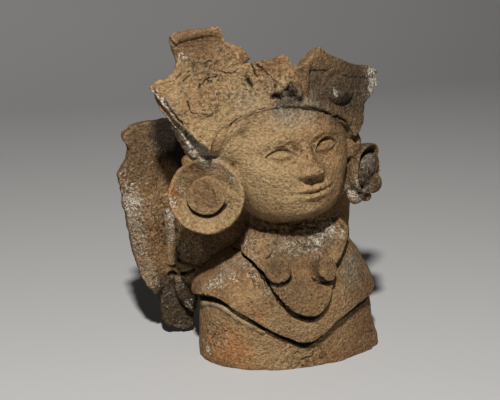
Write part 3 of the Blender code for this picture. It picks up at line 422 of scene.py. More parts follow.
# Stains, with painted light and painted shade in some of them. Each: x, y, z and radius in millimetres, then
# its strength
STAINS = {
    # Whitish haze, and painted light on the strip of clay below the hem
    "haze_and_light": (
        (-73, -11, 49, 3, 1), (-69, -21, 51, 3, 1), (-63, -29, 49, 3, 1), (-57, -34, 44, 3, 0.9),
        (-49, -39, 39, 3, 0.8), (-88, -25, 183, 6, 1), (-95, -26, 191, 5, 0.9), (-80, -25, 177, 7, 1.1),
        (-84, -25, 181, 6, 0.9), (-74, -26, 171, 8, 1.2), (-45, -45, 180, 20, 0.25),
        (-20, -45, 206, 13, 0.9), (-36, -43, 210, 12, 0.55), (-4, -44, 206, 11, 0.8), (3, -47, 212, 8, 0.7),
        (-33, -41, 224, 10, 0.5), (10, -43, 204, 8, 0.5), (-46, -39, 216, 13, 0.6), (-12, -44, 213, 9, 0.6),
        (62, -21, 227, 7, 0.9), (65, -20, 220, 7, 0.8), (62, -22, 214, 7, 0.8), (57, -25, 211, 8, 0.6),
        (-86, -20, 184, 9, 0.9), (-79, -20, 176, 8, 1), (-91, -20, 190, 7, 0.9), (-96, -24, 197, 6, 0.8),
        (-103, -28, 206, 6, 0.8), (-107, -25, 214, 5, 0.8), (-118, 51, 122, 10, 0.9),
        (-116, 51, 109, 10, 0.9), (-113, 50, 96, 9, 0.8), (-109, 49, 117, 9, 0.5), (-110, 50, 82, 9, 0.7),
        (-104, 48, 64, 9, 0.7), (-84, 46, 108, 6, 0.9), (-84, 46, 92, 6, 0.8), (-56, -15, 78, 10, 0.6),
        (-47, -18, 84, 8, 0.7), (-61, -17, 72, 10, 0.6), (-68, -12, 62, 8, 0.6), (42, -38, 74, 11, 0.8),
        (50, -30, 78, 9, 0.7), (32, -46, 64, 7, 0.5), (56, -22, 66, 9, 0.5), (-20, -36, 98, 7, 0.6),
        (-8, -40, 96, 7, 0.6), (6, -39, 98, 8, 0.7), (18, -37, 102, 8, 0.7), (-34, -36, 80, 6, 0.7),
        (-30, -46, 68, 6, 0.7), (-38, -26, 88, 6, 0.7), (60, -26, 158, 9, 0.8), (52, -26, 134, 8, 0.9),
        (-66, -26, 22, 7, 0.5), (-78, 50, 38, 7, 0.6),
    ),
    "chalk": (
        (-74, 39, 78, 9, 0.55), (-71, 36, 66, 7, 0.5), (-66, 29, 84, 7, 0.45), (-98, -23, 193, 6, 0.75),
        (-87, -23, 185, 7, 0.8), (-92, -23, 190, 6, 0.8), (-104, -25, 201, 5, 0.75),
        (-80, -25, 178, 7, 0.75), (22, -40, 217, 2.2, 1.3), (-84, -25, 179, 6, 0.85),
        (-77, -27, 171, 5, 0.8), (-74, -25, 171, 6, 0.55), (64, -20, 218, 6, 1.1), (61, -22, 211, 4, 0.8),
        (63, -20, 227, 5, 1), (-93, -22, 248, 5, 0.8), (-94, -21, 253, 4, 0.5), (62, -20, 222, 3.2, 0.9),
        (60, -23, 215, 3, 0.9), (22, -39, 217, 2.6, 0.95), (20, -38, 220, 2, 0.4), (-114, -22, 221, 4, 0.8),
        (-109, -25, 215, 4, 0.8), (-101, -23, 204, 4, 0.8), (-96, -25, 196, 4, 0.85),
        (-90, -28, 186, 6, 0.9), (-82, -31, 182, 6, 0.8), (-59, -34, 155, 3.2, 0.9),
        (-62, -31, 159, 3, 0.5), (-94, -16, 146, 4, 0.5), (-120, 51, 145, 7, 0.5), (-116, 52, 133, 8, 0.65),
        (-115, 51, 119, 9, 0.75), (-114, 49, 107, 8, 0.6), (-110, 51, 91, 8, 0.55), (-108, 52, 76, 7, 0.5),
        (-100, 50, 51, 7, 0.7), (-104, 51, 60, 6, 0.5), (-100, 50, 118, 6, 0.45), (-99, 49, 107, 4, 0.6),
        (-102, -18, 137, 5, 0.75), (-83, 46, 108, 5, 0.85), (-83, 45, 98, 5, 0.7), (-84, 46, 87, 5, 0.6),
        (-79, 47, 70, 6, 0.55), (-99, 49, 162, 8, 0.3), (-91, 50, 165, 8, 0.3), (-76, 43, 51, 5, 0.75),
        (-70, 42, 29, 5, 0.6), (-77, 52, 7, 5, 0.6), (-88, 52, 32, 8, 0.3), (-71, -11, 10, 4, 0.85),
        (-72, -4, 14, 4, 0.5), (-72, 3, 37, 4, 0.45), (-68, -19, 54, 4, 0.4), (-40, -14, 97, 6, 0.6),
        (-43, -9, 92, 4, 0.7), (-38, -28, 83, 6, 0.5), (-36, -40, 74, 5, 0.5), (-12, -37, 97, 7, 0.55),
        (-2, -39, 97, 7, 0.5), (-21, -37, 95, 5, 0.4), (11, -37, 102, 7, 0.75), (22, -33, 109, 5, 0.9),
        (23, -36, 105, 4, 0.5), (32, -38, 104, 4, 0.6), (8, -42, 92, 5, 0.6), (-55, -3, 81, 6, 0.5),
        (-64, -18, 71, 7, 0.65), (-69, -14, 67, 5, 0.7), (-55, -27, 74, 5, 0.55), (-43, -33, 77, 5, 0.5),
        (43, -32, 79, 8, 0.35), (43, -40, 64, 8, 0.35), (31, -49, 52, 7, 0.25), (15, -55, 71, 4, 0.4),
        (54, -28, 154, 5, 0.4), (63, -20, 158, 5, 0.45), (43, -29, 134, 7, 0.9), (51, -32, 128, 7, 0.95),
        (58, -31, 138, 3, 0.6), (43, -37, 145, 5, 0.6), (38, -34, 182, 4, 0.4), (64, -23, 36, 5, 0.4),
    ),
    # Soot, and painted shade: the headdress's shadow on the flange, the shaded tabs and the darker right-hand
    # side of the figure
    "soot_and_shade": (
        (-80, 50, 25, 24, 1.05), (-72, 44, 46, 9, 0.7), (-68, 45, 34, 8, 1.3), (-67, 51, 20, 6, 1.3),
        (-17, -48, 222, 5, 1.4), (-10, -45, 216, 6, 0.8), (-86, 51, 179, 9, 1.6), (-92, 51, 173, 7, 1.3),
        (-80, 50, 160, 8, 1.5), (-75, 40, 156, 9, 1.8), (-75, 39, 164, 9, 1.8), (-82, 50, 170, 10, 1.8),
        (-80, 48, 185, 9, 1.5), (22, -36, 196, 9, 0.7), (-75, -22, 252, 8, 0.5), (-71, -34, 217, 14, 0.25),
        (-60, -30, 245, 9, 0.3), (-28, -50, 88, 10, 0.6), (4, -53, 86, 9, 0.58), (-79, -20, 162, 8, 0.45),
        (-93, -18, 148, 7, 0.3), (-62, -30, 158, 7, 0.3), (60, -22, 160, 12, 0.9), (54, -26, 150, 14, 0.9),
        (-100, 50, 165, 30, 0.55), (44, -34, 66, 22, 0.45), (-12, -35, 100, 22, 0.5),
        (16, -36, 106, 16, 0.5), (-14, -54, 64, 24, 0.42), (46, -31, 216, 30, 0.86),
        (16, -41, 222, 20, 0.82), (30, -32, 238, 18, 0.6), (-80, -20, 250, 20, 0.48),
        (-108, 50, 88, 40, 0.28), (-60, -36, 232, 30, 0.22), (28, -40, 218, 10, 1.4),
        (45, -38, 20, 24, 0.22), (61, -27, 140, 9, 0.8), (-70, 36, 88, 20, 0.25), (44, -34, 180, 9, 0.4),
        (-25, -49, 218, 6, 0.9), (-12, -49, 223, 6, 0.7), (-22, -46, 211, 8, 0.7), (-9, -44, 208, 8, 0.5),
        (10, -45, 207, 8, 0.6), (21, -43, 202, 7, 0.55), (1, -47, 212, 7, 0.5), (-4, -43, 233, 7, 0.55),
        (-6, -45, 225, 7, 0.4), (-30, -40, 243, 7, 0.35), (-3, -31, 239, 7, 0.45), (-99, -23, 202, 9, 0.35),
        (-60, 24, 75, 13, 0.4), (-70, 30, 62, 12, 0.4), (-62, -6, 76, 10, 0.35), (-78, -1, 59, 6, 0.5),
        (30, -39, 81, 8, 0.5), (-28, -16, 111, 14, 0.45), (-2, -33, 115, 16, 0.5), (-33, 9, 106, 10, 0.45),
        (-68, 31, 80, 12, 0.45), (-61, 25, 90, 12, 0.5), (-74, 40, 86, 8, 0.35), (-77, -30, 144, 13, 0.42),
        (-62, -26, 1, 7, 0.4),
    ),
    # Ochre tone, and painted light: the lit top of the broken stub, the strip of clay below the hem and the
    # jar's wall beside the flange
    "ochre_and_light": (
        (-70, 33, 74, 16, 0.8), (-73, -11, 49, 4, 1.3), (-69, -21, 51, 4, 1.3), (-63, -29, 49, 4, 1.3),
        (-57, -34, 44, 4, 1.2), (-49, -39, 39, 4, 1), (-77, -28, 122, 9, 1), (-60, -35, 138, 8, 0.9),
        (-92, -20, 134, 7, 0.8), (-22, -51, 229, 6, 1.7), (-27, -50, 224, 4, 1), (-44, -46, 164, 26, 0.95),
        (-20, -50, 150, 24, 0.8), (-62, -26, 18, 12, 0.5), (-37, -43, 12, 12, 0.5), (-8, -50, 15, 12, 0.5),
        (-60, -30, 35, 12, 0.5), (-88, -26, 235, 18, 0.5), (-99, -25, 228, 14, 0.6),
        (-69, -28, 245, 14, 0.45), (-72, -36, 217, 20, 0.4), (-60, -34, 227, 16, 0.6),
        (-53, -38, 216, 18, 0.7), (-87, -34, 195, 14, 0.7), (-76, -36, 199, 14, 0.8),
        (-60, -38, 208, 14, 0.75), (-43, -41, 213, 12, 0.6), (-50, -38, 190, 16, 0.75),
        (-53, -36, 174, 18, 0.75), (-18, -49, 193, 16, 0.5), (-32, -43, 212, 14, 0.45),
        (-10, -48, 196, 14, 0.35), (10, -36, 231, 8, 0.35), (26, -31, 240, 12, 0.2),
        (34, -33, 186, 8, 0.45), (72, 34, 147, 8, 0.6), (-78, -32, 118, 12, 0.75), (-92, -22, 127, 10, 0.7),
        (-61, -37, 128, 10, 0.7), (-98, -17, 154, 9, 0.55), (-31, -24, 101, 13, 0.6),
        (-11, -35, 102, 13, 0.5), (-29, -42, 92, 9, 0.4), (-11, -56, 68, 14, 0.3), (-48, -43, 60, 16, 0.4),
        (-30, -52, 46, 13, 0.55), (-11, -56, 39, 13, 0.55), (-35, -44, 30, 16, 0.5),
        (-46, -39, 12, 14, 0.45), (-20, -49, 10, 14, 0.55), (18, -49, 24, 16, 0.25),
        (-69, -15, 38, 14, 0.35), (-107, 50, 175, 10, 0.3),
    ),
    "red": (
        (-102, -17, 146, 6, 0.8), (-100, -20, 130, 6, 0.6), (-69, -14, 19, 8, 0.5), (-45, -40, 14, 8, 0.4),
        (-36, -44, 3, 7, 0.3), (-57, -30, 15, 13, 0.95), (-62, -26, 24, 12, 0.65), (-49, -37, 6, 10, 0.5),
        (-68, -18, 10, 9, 0.5), (-41, -48, 46, 8, 0.45), (-51, -43, 54, 8, 0.35), (-10, -32, 111, 10, 0.35),
        (3, -59, 59, 8, 0.1), (-101, -16, 152, 4, 0.55), (-121, 57, 147, 5, 0.6), (-119, 52, 138, 5, 0.5),
        (-118, 51, 125, 6, 0.35), (-105, 49, 108, 8, 0.35), (-100, 50, 91, 10, 0.45), (-96, 51, 68, 9, 0.4),
        (-109, 51, 65, 8, 0.3), (-62, 25, 79, 7, 0.5), (-72, 37, 68, 6, 0.3), (-52, -35, 164, 8, 0.2),
        (70, -25, 4, 7, 0.4), (71, 33, 153, 5, 0.35), (-49, -36, 25, 8, 0.3), (-80, -25, 246, 8, 0.12),
    ),
}

# Painted shadows: the headdress's shadow on the flange, the dark hollow of the broken stub and the crescent
# below the right wing disc. Each: x, y, z and radius in millimetres, then how much
PAINTED_SHADOWS = (
    (-86, 51, 180, 7, 1), (-82, 50, 172, 9, 1.2), (-76, 44, 163, 9, 1.3), (-74, 39, 156, 8, 1.2),
    (-79, 47, 184, 8, 1), (-72, 36, 170, 9, 1.2), (-16, -49, 221, 2.6, 1.1), (-27, -46, 218, 2.4, 0.8),
    (33, -39, 213, 3, 1), (29, -40, 211, 3, 0.9), (24, -40, 212, 2.6, 0.6),
)

# Mesh
PLATE_CELL = 0.004
VOXEL = 0.0008
FACE_LIMIT = 197000
ROUND_POINTS = 192
SINK = 0.006
# How far below a hem the painted shadow reaches
SHADOW_REACH = 0.0066
# The way the most detailed side faces
SHOWN_SIDE = (-0.33, -0.90, 0.28)
# How far a crack reaches over the skin, and how soon it fades at its ends
CRACK_REACH = 0.0030
CRACK_TAPER = 0.0030
# How far a crack wanders from its line
CRACK_DRIFT = 0.0008


def spread(first, last, count):
    """Evenly spaced numbers from first to last, with count steps between them."""
    return [first + (last - first) * k / count for k in range(count + 1)]


def circle(count):
    """Evenly spaced angles of a full turn, from 0."""
    return [2 * math.pi * k / count for k in range(count)]


def smooth_step(t):
    t = min(max(t, 0.0), 1.0)
    return t * t * (3 - 2 * t)


def bump(distance, width):
    return math.exp(-((distance / width) ** 2))


def curve_at(keys, t):
    """The values at t on a smooth curve through the keys, each of which starts with its own t."""
    t = min(max(t, keys[0][0]), keys[-1][0])
    i = next(i for i in range(1, len(keys)) if t <= keys[i][0])
    before, start, end, after = (keys[min(max(k, 0), len(keys) - 1)] for k in range(i - 2, i + 2))
    span = end[0] - start[0]
    s = (t - start[0]) / span
    values = []
    for a, b, c, d in zip(before[1:], start[1:], end[1:], after[1:]):
        leave = (c - a) / (end[0] - before[0]) * span
        arrive = (d - b) / (after[0] - start[0]) * span
        values.append(
            b * (1 + 2 * s) * (1 - s) ** 2
            + leave * s * (1 - s) ** 2
            + c * s * s * (3 - 2 * s)
            + arrive * s * s * (s - 1)
        )
    return values


def add_loft(clay, rings):
    """A closed lump through rings of equally many points, with a fan on each end."""
    rows = [[clay.verts.new(point) for point in ring] for ring in rings]
    count = len(rows[0])
    for low, high in zip(rows, rows[1:]):
        for k in range(count):
            clay.faces.new((low[k], low[(k + 1) % count], high[(k + 1) % count], high[k]))
    for row in (rows[0], rows[-1]):
        middle = clay.verts.new(sum((v.co for v in row), Vector()) / count)
        for k in range(count):
            clay.faces.new((row[k], row[(k + 1) % count], middle))


def add_band(clay, sections):
    """A closed lump that goes all the way round through its sections, as a tyre does."""
    rows = [[clay.verts.new(point) for point in section] for section in sections]
    count = len(rows[0])
    for row, following in zip(rows, rows[1:] + rows[:1]):
        for k in range(count):
            clay.faces.new((row[k], row[(k + 1) % count], following[(k + 1) % count], following[k]))


def worn(outline, rough, seed, step=0.0016):
    """The outline with more points, each moved a little, as a broken edge runs."""
    draw = np.random.default_rng(seed)
    points = []
    drift = np.zeros(2)
    for start, end in zip(outline, outline[1:] + outline[:1]):
        start, end = np.array(start), np.array(end)
        pieces = max(1, round(float(np.linalg.norm(end - start)) / step))
        for k in range(pieces):
            drift = 0.6 * drift + draw.normal(0, rough, 2)
            points.append(tuple(start + (end - start) * k / pieces + drift))
    return tuple(points)


def add_plate(clay, outline, front, back, place):
    """A closed plate cut from an outline. It is split into cells, so that place() can bend it."""
    sheet = bmesh.new()
    sheet.faces.new([sheet.verts.new((u, v, 0)) for u, v in outline])
    for axis in (0, 1):
        values = [point[axis] for point in outline]
        normal = Vector((1 - axis, axis, 0))
        for k in range(1, math.ceil((max(values) - min(values)) / PLATE_CELL)):
            everything = sheet.verts[:] + sheet.edges[:] + sheet.faces[:]
            middle = normal * (min(values) + k * PLATE_CELL)
            bmesh.ops.bisect_plane(sheet, geom=everything, dist=1e-7, plane_co=middle, plane_no=normal)
    bmesh.ops.triangulate(sheet, faces=sheet.faces[:])
    sheet.verts.ensure_lookup_table()
    sides = []
    for depth in (front, back):
        verts = [clay.verts.new(place(v.co.x, v.co.y, depth)) for v in sheet.verts]
        for face in sheet.faces:
            clay.faces.new([verts[v.index] for v in face.verts])
        sides.append(verts)
    for edge in sheet.edges:
        if edge.is_boundary:
            a, b = (v.index for v in edge.verts)
            clay.faces.new((sides[0][a], sides[0][b], sides[1][b], sides[1][a]))
    sheet.free()


def scaled(profile, radius, height):
    return [(radius * out, height * up) for out, up in profile]


def add_turned(clay, profile, frame, squash=1.0, left=None, core=0.0):
    """A turned lump: profile is (radius, height) pairs up the axis, and frame puts the axis in place.

    Beyond the core radius only the share that left gives at each angle is still there.
    """
    rings = []
    for radius, height in profile:
        ring = []
        for turn in circle(ROUND_POINTS // 2):
            reach = radius
            if left and radius > core:
                reach = core + (radius - core) * curve_at(left, math.degrees(turn))[0]
            ring.append(frame @ Vector((reach * squash * math.cos(turn), reach * math.sin(turn), height)))
        rings.append(ring)
    add_loft(clay, rings)


def add_coil(clay, path, radius, end_radius=None):
    """A roll of clay along a path, which may taper to an end radius."""
    rings = []
    for i, point in enumerate(path):
        along = (path[min(i + 1, len(path) - 1)] - path[max(i - 1, 0)]).normalized()
        side = along.cross(Vector((0, 1, 0)) if abs(along.y) < 0.9 else Vector((1, 0, 0))).normalized()
        over = along.cross(side)
        here = radius + ((end_radius or radius) - radius) * i / (len(path) - 1)
        rings.append([point + here * (math.cos(turn) * side + math.sin(turn) * over) for turn in circle(16)])
    add_loft(clay, rings)


def add_ball(clay, frame, size):
    """An egg of clay in the frame, with its three half sizes."""
    rings = []
    for angle in spread(-90, 90, 24)[1:-1]:
        rise = math.radians(angle)
        x, y, z = size.x * math.cos(rise), size.y * math.cos(rise), size.z * math.sin(rise)
        rings.append([frame @ Vector((x * math.cos(turn), y * math.sin(turn), z)) for turn in circle(48)])
    add_loft(clay, rings)


def add_lumps(clay, frame, lumps):
    for x, y, z, *size in lumps:
        add_ball(clay, frame @ Matrix.Translation((x, y, z)), Vector(size))


def facing(point, turn, rise):
    """A frame at the point, whose +Z is turned from the front and raised by angles in degrees."""
    turned = Matrix.Rotation(math.radians(turn), 4, "Z") @ Matrix.Rotation(math.radians(90 - rise), 4, "X")
    return Matrix.Translation(point) @ turned


def body_levels():
    sizes = (BODY_HEIGHT, BODY_HALF_WIDTH, BODY_HALF_WIDTH, BODY_DEPTH, BODY_DEPTH)
    levels = [tuple(share * size for share, size in zip(level, sizes)) for level in BODY_LEVELS]
    levels.append((HEAD_CENTRE.z, HEAD_CENTRE.x, NECK_HALF_WIDTH, NECK_DEPTH, NECK_DEPTH))
    return levels


BODY_KEYS = body_levels()


def body_point(angle, height, proud=0.0):
    """A point on the body at an angle from the front, in degrees, standing proud of the surface."""
    middle, half_width, front, back = curve_at(BODY_KEYS, height)
    turn = math.radians(angle)
    proud += FOOT_FLARE * bump(height, FOOT_FLARE_HEIGHT) * bump(angle - FOOT_FLARE_ANGLE, FOOT_FLARE_SPREAD)
    depth = front if math.cos(turn) > 0 else back
    x = middle + (half_width + proud) * math.sin(turn)
    return Vector((x, -(depth + proud) * math.cos(turn), height))


def edge_height(edge, angle):
    """Height of a hem at an angle round the body."""
    return BODY_HEIGHT * curve_at(edge, angle)[0]


def body_path(keys, proud, count):
    """A curve on the body through keys of angle and share of its height."""
    keys = [(k, angle, BODY_HEIGHT * share) for k, (angle, share) in enumerate(keys)]
    return [body_point(*curve_at(keys, step), proud) for step in spread(0, len(keys) - 1, count)]


# Angles round the body, in degrees
ANGLES = spread(-180, 180, ROUND_POINTS)[:-1]


def undercut(height, edge):
    """How deep the groove under an edge is at a height."""
    return -UNDERCUT * smooth_step((height - edge + UNDERCUT_HEIGHT) / UNDERCUT_HEIGHT)


def add_body(clay):
    hems = [edge_height(CAPE_HEM, angle) for angle in ANGLES]
    rings = []
    for height in [-SINK] + spread(0.0, HEAD_CENTRE.z, 120):
        ring = []
        for angle, hem in zip(ANGLES, hems):
            groove = undercut(height, hem) if height < hem + BODY_GROOVE else 0.0
            point = body_point(angle, max(height, 0.0), groove)
            ring.append(Vector((point.x, point.y, height)))
        rings.append(ring)
    add_loft(clay, rings)


def layer_section(angle, edge, top, under, over, fade, cut=None):
    """Outline across a layer of clay: a lower edge, a face that thins upwards and a buried back.

    cut is the edge of a layer above this one, which undercuts it.
    """
    radius = min(over - under, HEM_ROUNDING)
    section = [body_point(angle, edge + 0.5 * radius, under)]
    for out, up in ((0.45, 0.18), (0.75, 0.02), (0.92, 0.05), (1.0, 0.22)):
        section.append(body_point(angle, edge + radius * up, under + (over - under) * out))
    start = edge + radius
    for share in spread(0, 1, 24):
        height = start + (top - start) * share
        proud = over + (fade - over) * smooth_step(share)
        if cut is not None and height < cut + LAYER_GROOVE:
            proud += undercut(height, cut)
        section.append(body_point(angle, height, proud))
    section.append(body_point(angle, top, -CAPE_THICKNESS))
    section.append(body_point(angle, start, -CAPE_THICKNESS))
    return section


def add_cape(clay):
    sections = []
    top = BODY_HEIGHT * CAPE_TOP_SHARE
    for angle in ANGLES:
        covered = BIB_EDGE[0][0] < angle < BIB_EDGE[-1][0]
        cut = edge_height(BIB_EDGE, angle) if covered else None
        hem = edge_height(CAPE_HEM, angle)
        sections.append(layer_section(angle, hem, top, -UNDERCUT, CAPE_THICKNESS, CAPE_THICKNESS / 4, cut))
    add_band(clay, sections)


def pellet_frame(pellet):
    """A frame behind a pellet, whose +Z is the pellet's axis."""
    angle, share, _, _, turn = pellet
    point = body_point(angle, BODY_HEIGHT * share, CAPE_THICKNESS + BIB_THICKNESS - PELLET_SINK)
    return facing(point, turn, PELLET_RISE)


def add_bib(clay):
    first, last = BIB_EDGE[0][0], BIB_EDGE[-1][0]
    top = BODY_HEIGHT * BIB_TOP_SHARE
    sections = []
    for angle in spread(first, last, 144):
        edge = edge_height(BIB_EDGE, angle)
        ends = smooth_step((angle - first) / BIB_END_ANGLE) * smooth_step((last - angle) / BIB_END_ANGLE)
        over = CAPE_THICKNESS + BIB_THICKNESS * (BIB_END_SHARE + (1 - BIB_END_SHARE) * ends)
        sections.append(layer_section(angle, edge, top, CAPE_THICKNESS / 2, over, BIB_TOP_PROUD))
    add_loft(clay, sections)
    for pellet in PELLETS:
        _, _, half_width, half_height, _ = pellet
        profile = scaled(PELLET_PROFILE, half_height, PELLET_THICKNESS)
        add_turned(clay, profile, pellet_frame(pellet), half_width / half_height)
    add_coil(clay, body_path(STRIP, -STRIP_SINK, 32), STRIP_RADIUS)
    add_coil(clay, body_path(LAPPET, (CAPE_THICKNESS + BIB_THICKNESS) / 2, 24), LAPPET_RADIUS)
    add_coil(clay, [Vector(point) for point in COLLAR], COLLAR_RADIUS)


def head_frame():
    turned = (
        Matrix.Rotation(math.radians(HEAD_YAW), 4, "Z")
        @ Matrix.Rotation(math.radians(-HEAD_TILT_BACK), 4, "X")
        @ Matrix.Rotation(math.radians(-HEAD_ROLL), 4, "Y")
    )
    return Matrix.Translation(HEAD_CENTRE) @ turned


def face_relief(x, z):
    """How far the face stands proud at x across and z up, all as shares of the head's half height."""
    across = abs(x)
    arch = BROW_HEIGHT - BROW_ARCH * (across - EYE_APART) ** 2
    under = z - arch
    brow = BROW_PROUD * bump(under, 0.05 if under < 0 else 0.11) * bump(across - EYE_APART, 0.34)
    p = (across - EYE_APART) / EYE_HALF_WIDTH
    q = (z - EYE_HEIGHT - EYE_SLANT * (across - EYE_APART)) / EYE_HALF_HEIGHT
    rim = abs(q) - (1 - p * p)
    inside = smooth_step((1.5 - abs(p)) / 0.5)
    eye = EYE_PROUD * smooth_step(-rim / 0.9)
    eye += LID_PROUD * inside * bump(rim - 0.30, 0.26) * (1.0 if q > 0 else 0.6)
    eye -= CREASE_DEPTH * inside * bump(rim, 0.14)
    bridge = smooth_step((NOSE_TOP - z) / 0.25) * smooth_step((z - NOSE_BASE) / 0.07)
    slope = 0.30 + 0.70 * smooth_step((NOSE_TOP - z) / (NOSE_TOP - NOSE_BASE))
    nose = min(NOSE_PROUD * bridge * slope * bump(across, 0.10 + 0.06 * slope), NOSE_CHIP)
    smile = MOUTH_HEIGHT + MOUTH_CURVE * (across / MOUTH_HALF_WIDTH) ** 2
    bow = LIP_APART + 0.012 * bump(across - 0.075, 0.05)
    lips = LIP_PROUD * (0.85 * bump(z - smile - bow, 0.042) + bump(z - smile + LIP_APART, 0.052))
    mouth = bump(across / MOUTH_HALF_WIDTH, 0.85) * (lips - PARTING_DEPTH * bump(z - smile, 0.019))
    swells = 0.0
    for middle, wide, height, tall, proud in FACE_SWELLS:
        swells += proud * bump(across - middle, wide) * bump(z - height, tall)
    return brow + eye + nose + mouth + swells


def head_point(turn, level):
    """A point of the head in its own frame, at a turn from the front and a level in half heights."""
    half_width, front, back = curve_at(HEAD_LEVELS, level)
    depth = front if math.cos(turn) > 0 else back
    power = 2 / HEAD_SQUARENESS
    x = HEAD_HALF_WIDTH * half_width * math.copysign(abs(math.sin(turn)) ** power, math.sin(turn))
    y = -HEAD_DEPTH * depth * math.copysign(abs(math.cos(turn)) ** power, math.cos(turn))
    if y < 0:
        relief = face_relief(x / HEAD_HALF_HEIGHT, level) * smooth_step(-y / (0.5 * HEAD_DEPTH))
        y -= HEAD_HALF_HEIGHT * relief
    return Vector((x, y, level * HEAD_HALF_HEIGHT))


def add_head(clay):
    frame = head_frame()
    rings = []
    for level in spread(HEAD_LEVELS[0][0], HEAD_LEVELS[-1][0], 144):
        rings.append([frame @ head_point(turn, level) for turn in circle(2 * ROUND_POINTS)])
    add_loft(clay, rings)
    add_lumps(clay, frame, HEAD_LUMPS)


def slab_bend(u, v):
    """How far back the headdress bends, which is only in the hollow of its tab."""
    height, half, deep = TAB_HOLLOW
    return deep * bump(v - height, half) * smooth_step((TAB_EDGE - u) / TAB_EDGE_FADE)


def slab_point(u, v, depth):
    """A point of the headdress: u round the brow, v up, depth in from its front."""
    depth += slab_bend(u, v)
    turn = min(abs(u) / BROW_RADIUS, math.radians(BROW_ANGLE))
    straight = abs(u) - turn * BROW_RADIUS
    x = (BROW_RADIUS - depth) * math.sin(turn) + straight * math.cos(turn)
    y = BROW_RADIUS - BROW_FRONT - (BROW_RADIUS - depth) * math.cos(turn) + straight * math.sin(turn)
    return head_frame() @ Vector((math.copysign(x, u), y, v))


def strap_point(x, height, depth):
    lean = STRAP_LEAN * (STRAP_OUTLINE[0][1] - height)
    return head_frame() @ Vector((x, STRAP_FRONT + depth + lean, height))


def outward_frame(u, v):
    """A frame on the headdress's front, whose +Z faces out of it."""
    middle = slab_point(u, v, 0.0)
    outward = slab_point(u, v, -SLAB_THICKNESS) - middle
    return Matrix.Translation(middle) @ outward.to_track_quat("Z", "Y").to_matrix().to_4x4()


def band_edge_height(u):
    """Height of the headdress's lower edge over the brow, which is a bow."""
    return BAND_EDGE_TOP - BAND_EDGE_BOW * (u - BAND_EDGE_MIDDLE) ** 2


def band_edge():
    """Lower edge of the headdress, from the end of its bow on the left of the face to the other end."""
    return tuple((u, band_edge_height(u)) for u in spread(BAND_EDGE_ENDS[1], BAND_EDGE_ENDS[0], 16))


def add_slab_coil(clay, path, depth, *radii):
    """A roll of clay on the headdress, whose middle is as deep as given."""
    add_coil(clay, [slab_point(u, v, depth) for u, v in path], *radii)


def add_headdress(clay):
    add_plate(clay, worn(SLAB_OUTLINE + band_edge(), 0.00022, 1), 0.0, SLAB_THICKNESS, slab_point)
    behind = SLAB_THICKNESS + BACK_SLAB_THICKNESS
    add_plate(clay, worn(BACK_SLAB_OUTLINE, 0.0004, 2), SLAB_THICKNESS - SLAB_OVERLAP, behind, slab_point)
    add_plate(clay, worn(STRAP_OUTLINE, 0.0003, 3), 0.0, STRAP_THICKNESS, strap_point)
    add_plate(clay, worn(CREST_OUTLINE, 0.00016, 4), -CREST_PROUD, SLAB_THICKNESS, slab_point)
    add_plate(clay, worn(RIDGE_OUTLINE, 0.00045, 5), -RIDGE_PROUD, SLAB_THICKNESS / 2, slab_point)
    for u, v, radius, across, proud in WING_DISCS:
        add_turned(clay, scaled(WING_DISC_PROFILE, radius, proud), outward_frame(u, v), across)
    around, roll, deep = HALO
    u, v = WING_DISCS[1][:2]
    halo = [math.radians(angle) for angle in spread(*HALO_ANGLES, 24)]
    add_slab_coil(clay, [(u + around * math.cos(a), v + around * math.sin(a)) for a in halo], deep, roll)
    for u, v, depth, across, through, up in STUB_LUMPS:
        frame = outward_frame(u, v) @ Matrix.Translation((0, 0, -depth))
        add_ball(clay, frame, Vector((across, up, through)))
    fillet = [(u, band_edge_height(u) - FILLET_DROP) for u in spread(*FILLET, 24)]
    add_slab_coil(clay, fillet, FILLET_DEPTH, *FILLET_RADII)
    brow = [(u, band_edge_height(u) + BROW_ROLL_RADIUS) for u in spread(*BROW_ROLL, 24)]
    add_slab_coil(clay, brow, BROW_ROLL_DEPTH, BROW_ROLL_RADIUS)
    add_slab_coil(clay, FURROW_ROLL, FURROW_ROLL_DEPTH, FURROW_ROLL_RADIUS)
    add_slab_coil(clay, TAB_ROLL, TAB_ROLL_DEPTH, *TAB_ROLL_RADII)


def disc_frame(disc):
    """A frame on the back of an ear disc, whose +Z is the disc's axis."""
    local, turn, rise = disc
    return facing(head_frame() @ local, turn, rise) @ Matrix.Translation((0, 0, -DISC_THICKNESS / 2))


def add_ear_disc(clay, disc, radius, lip_left):
    local, frame = disc[0], disc_frame(disc)
    lip = DISC_BACK[-1][0] * radius
    profile = [(radius * out, up) for out, up in DISC_BACK]
    profile += [(lip + (BOSS_RADIUS - lip) * inwards, up) for inwards, up in DISC_DISH]
    profile += [(BOSS_RADIUS * out, up) for out, up in DISC_BOSS]
    add_turned(clay, scaled(profile, 1.0, DISC_THICKNESS), frame, left=lip_left, core=BOSS_RADIUS)
    inner = head_frame() @ Vector((local.x * STEM_START, local.y + STEM_SETBACK, local.z))
    back = frame @ Vector((0, 0, DISC_THICKNESS / 3))
    add_coil(clay, [back.lerp(inner, share) for share in spread(0, 1, 4)], DISC_STEM_RADIUS)


def jar_side(reach, height, y):
    """A point beside the jar's own right side: reach is outwards from the wall."""
    return Vector((-JAR_HALF_WIDTH - reach, y, height))


def jar_ring(height, grow=0.0):
    """One level of the jar, grown outwards or drawn inwards."""
    if height < BAND_BOTTOM:
        middle, wide, deep = curve_at(JAR_FOOT_LEVELS + ((BAND_BOTTOM, 1.0, 1.0, 1.0),), height)
    else:
        middle, wide, deep = 1.0, 1.0, 1.0
        grow += RIM_FLARE * smooth_step((height - BAND_BOTTOM) / (RIM_HEIGHT - BAND_BOTTOM)) ** 2
    ring = []
    for turn in map(math.radians, ANGLES):
        x = (JAR_HALF_WIDTH * wide + grow) * math.sin(turn)
        y = JAR_MIDDLE_Y * middle - (JAR_HALF_DEPTH * deep + grow) * math.cos(turn)
        ring.append(Vector((x, y, height)))
    return ring


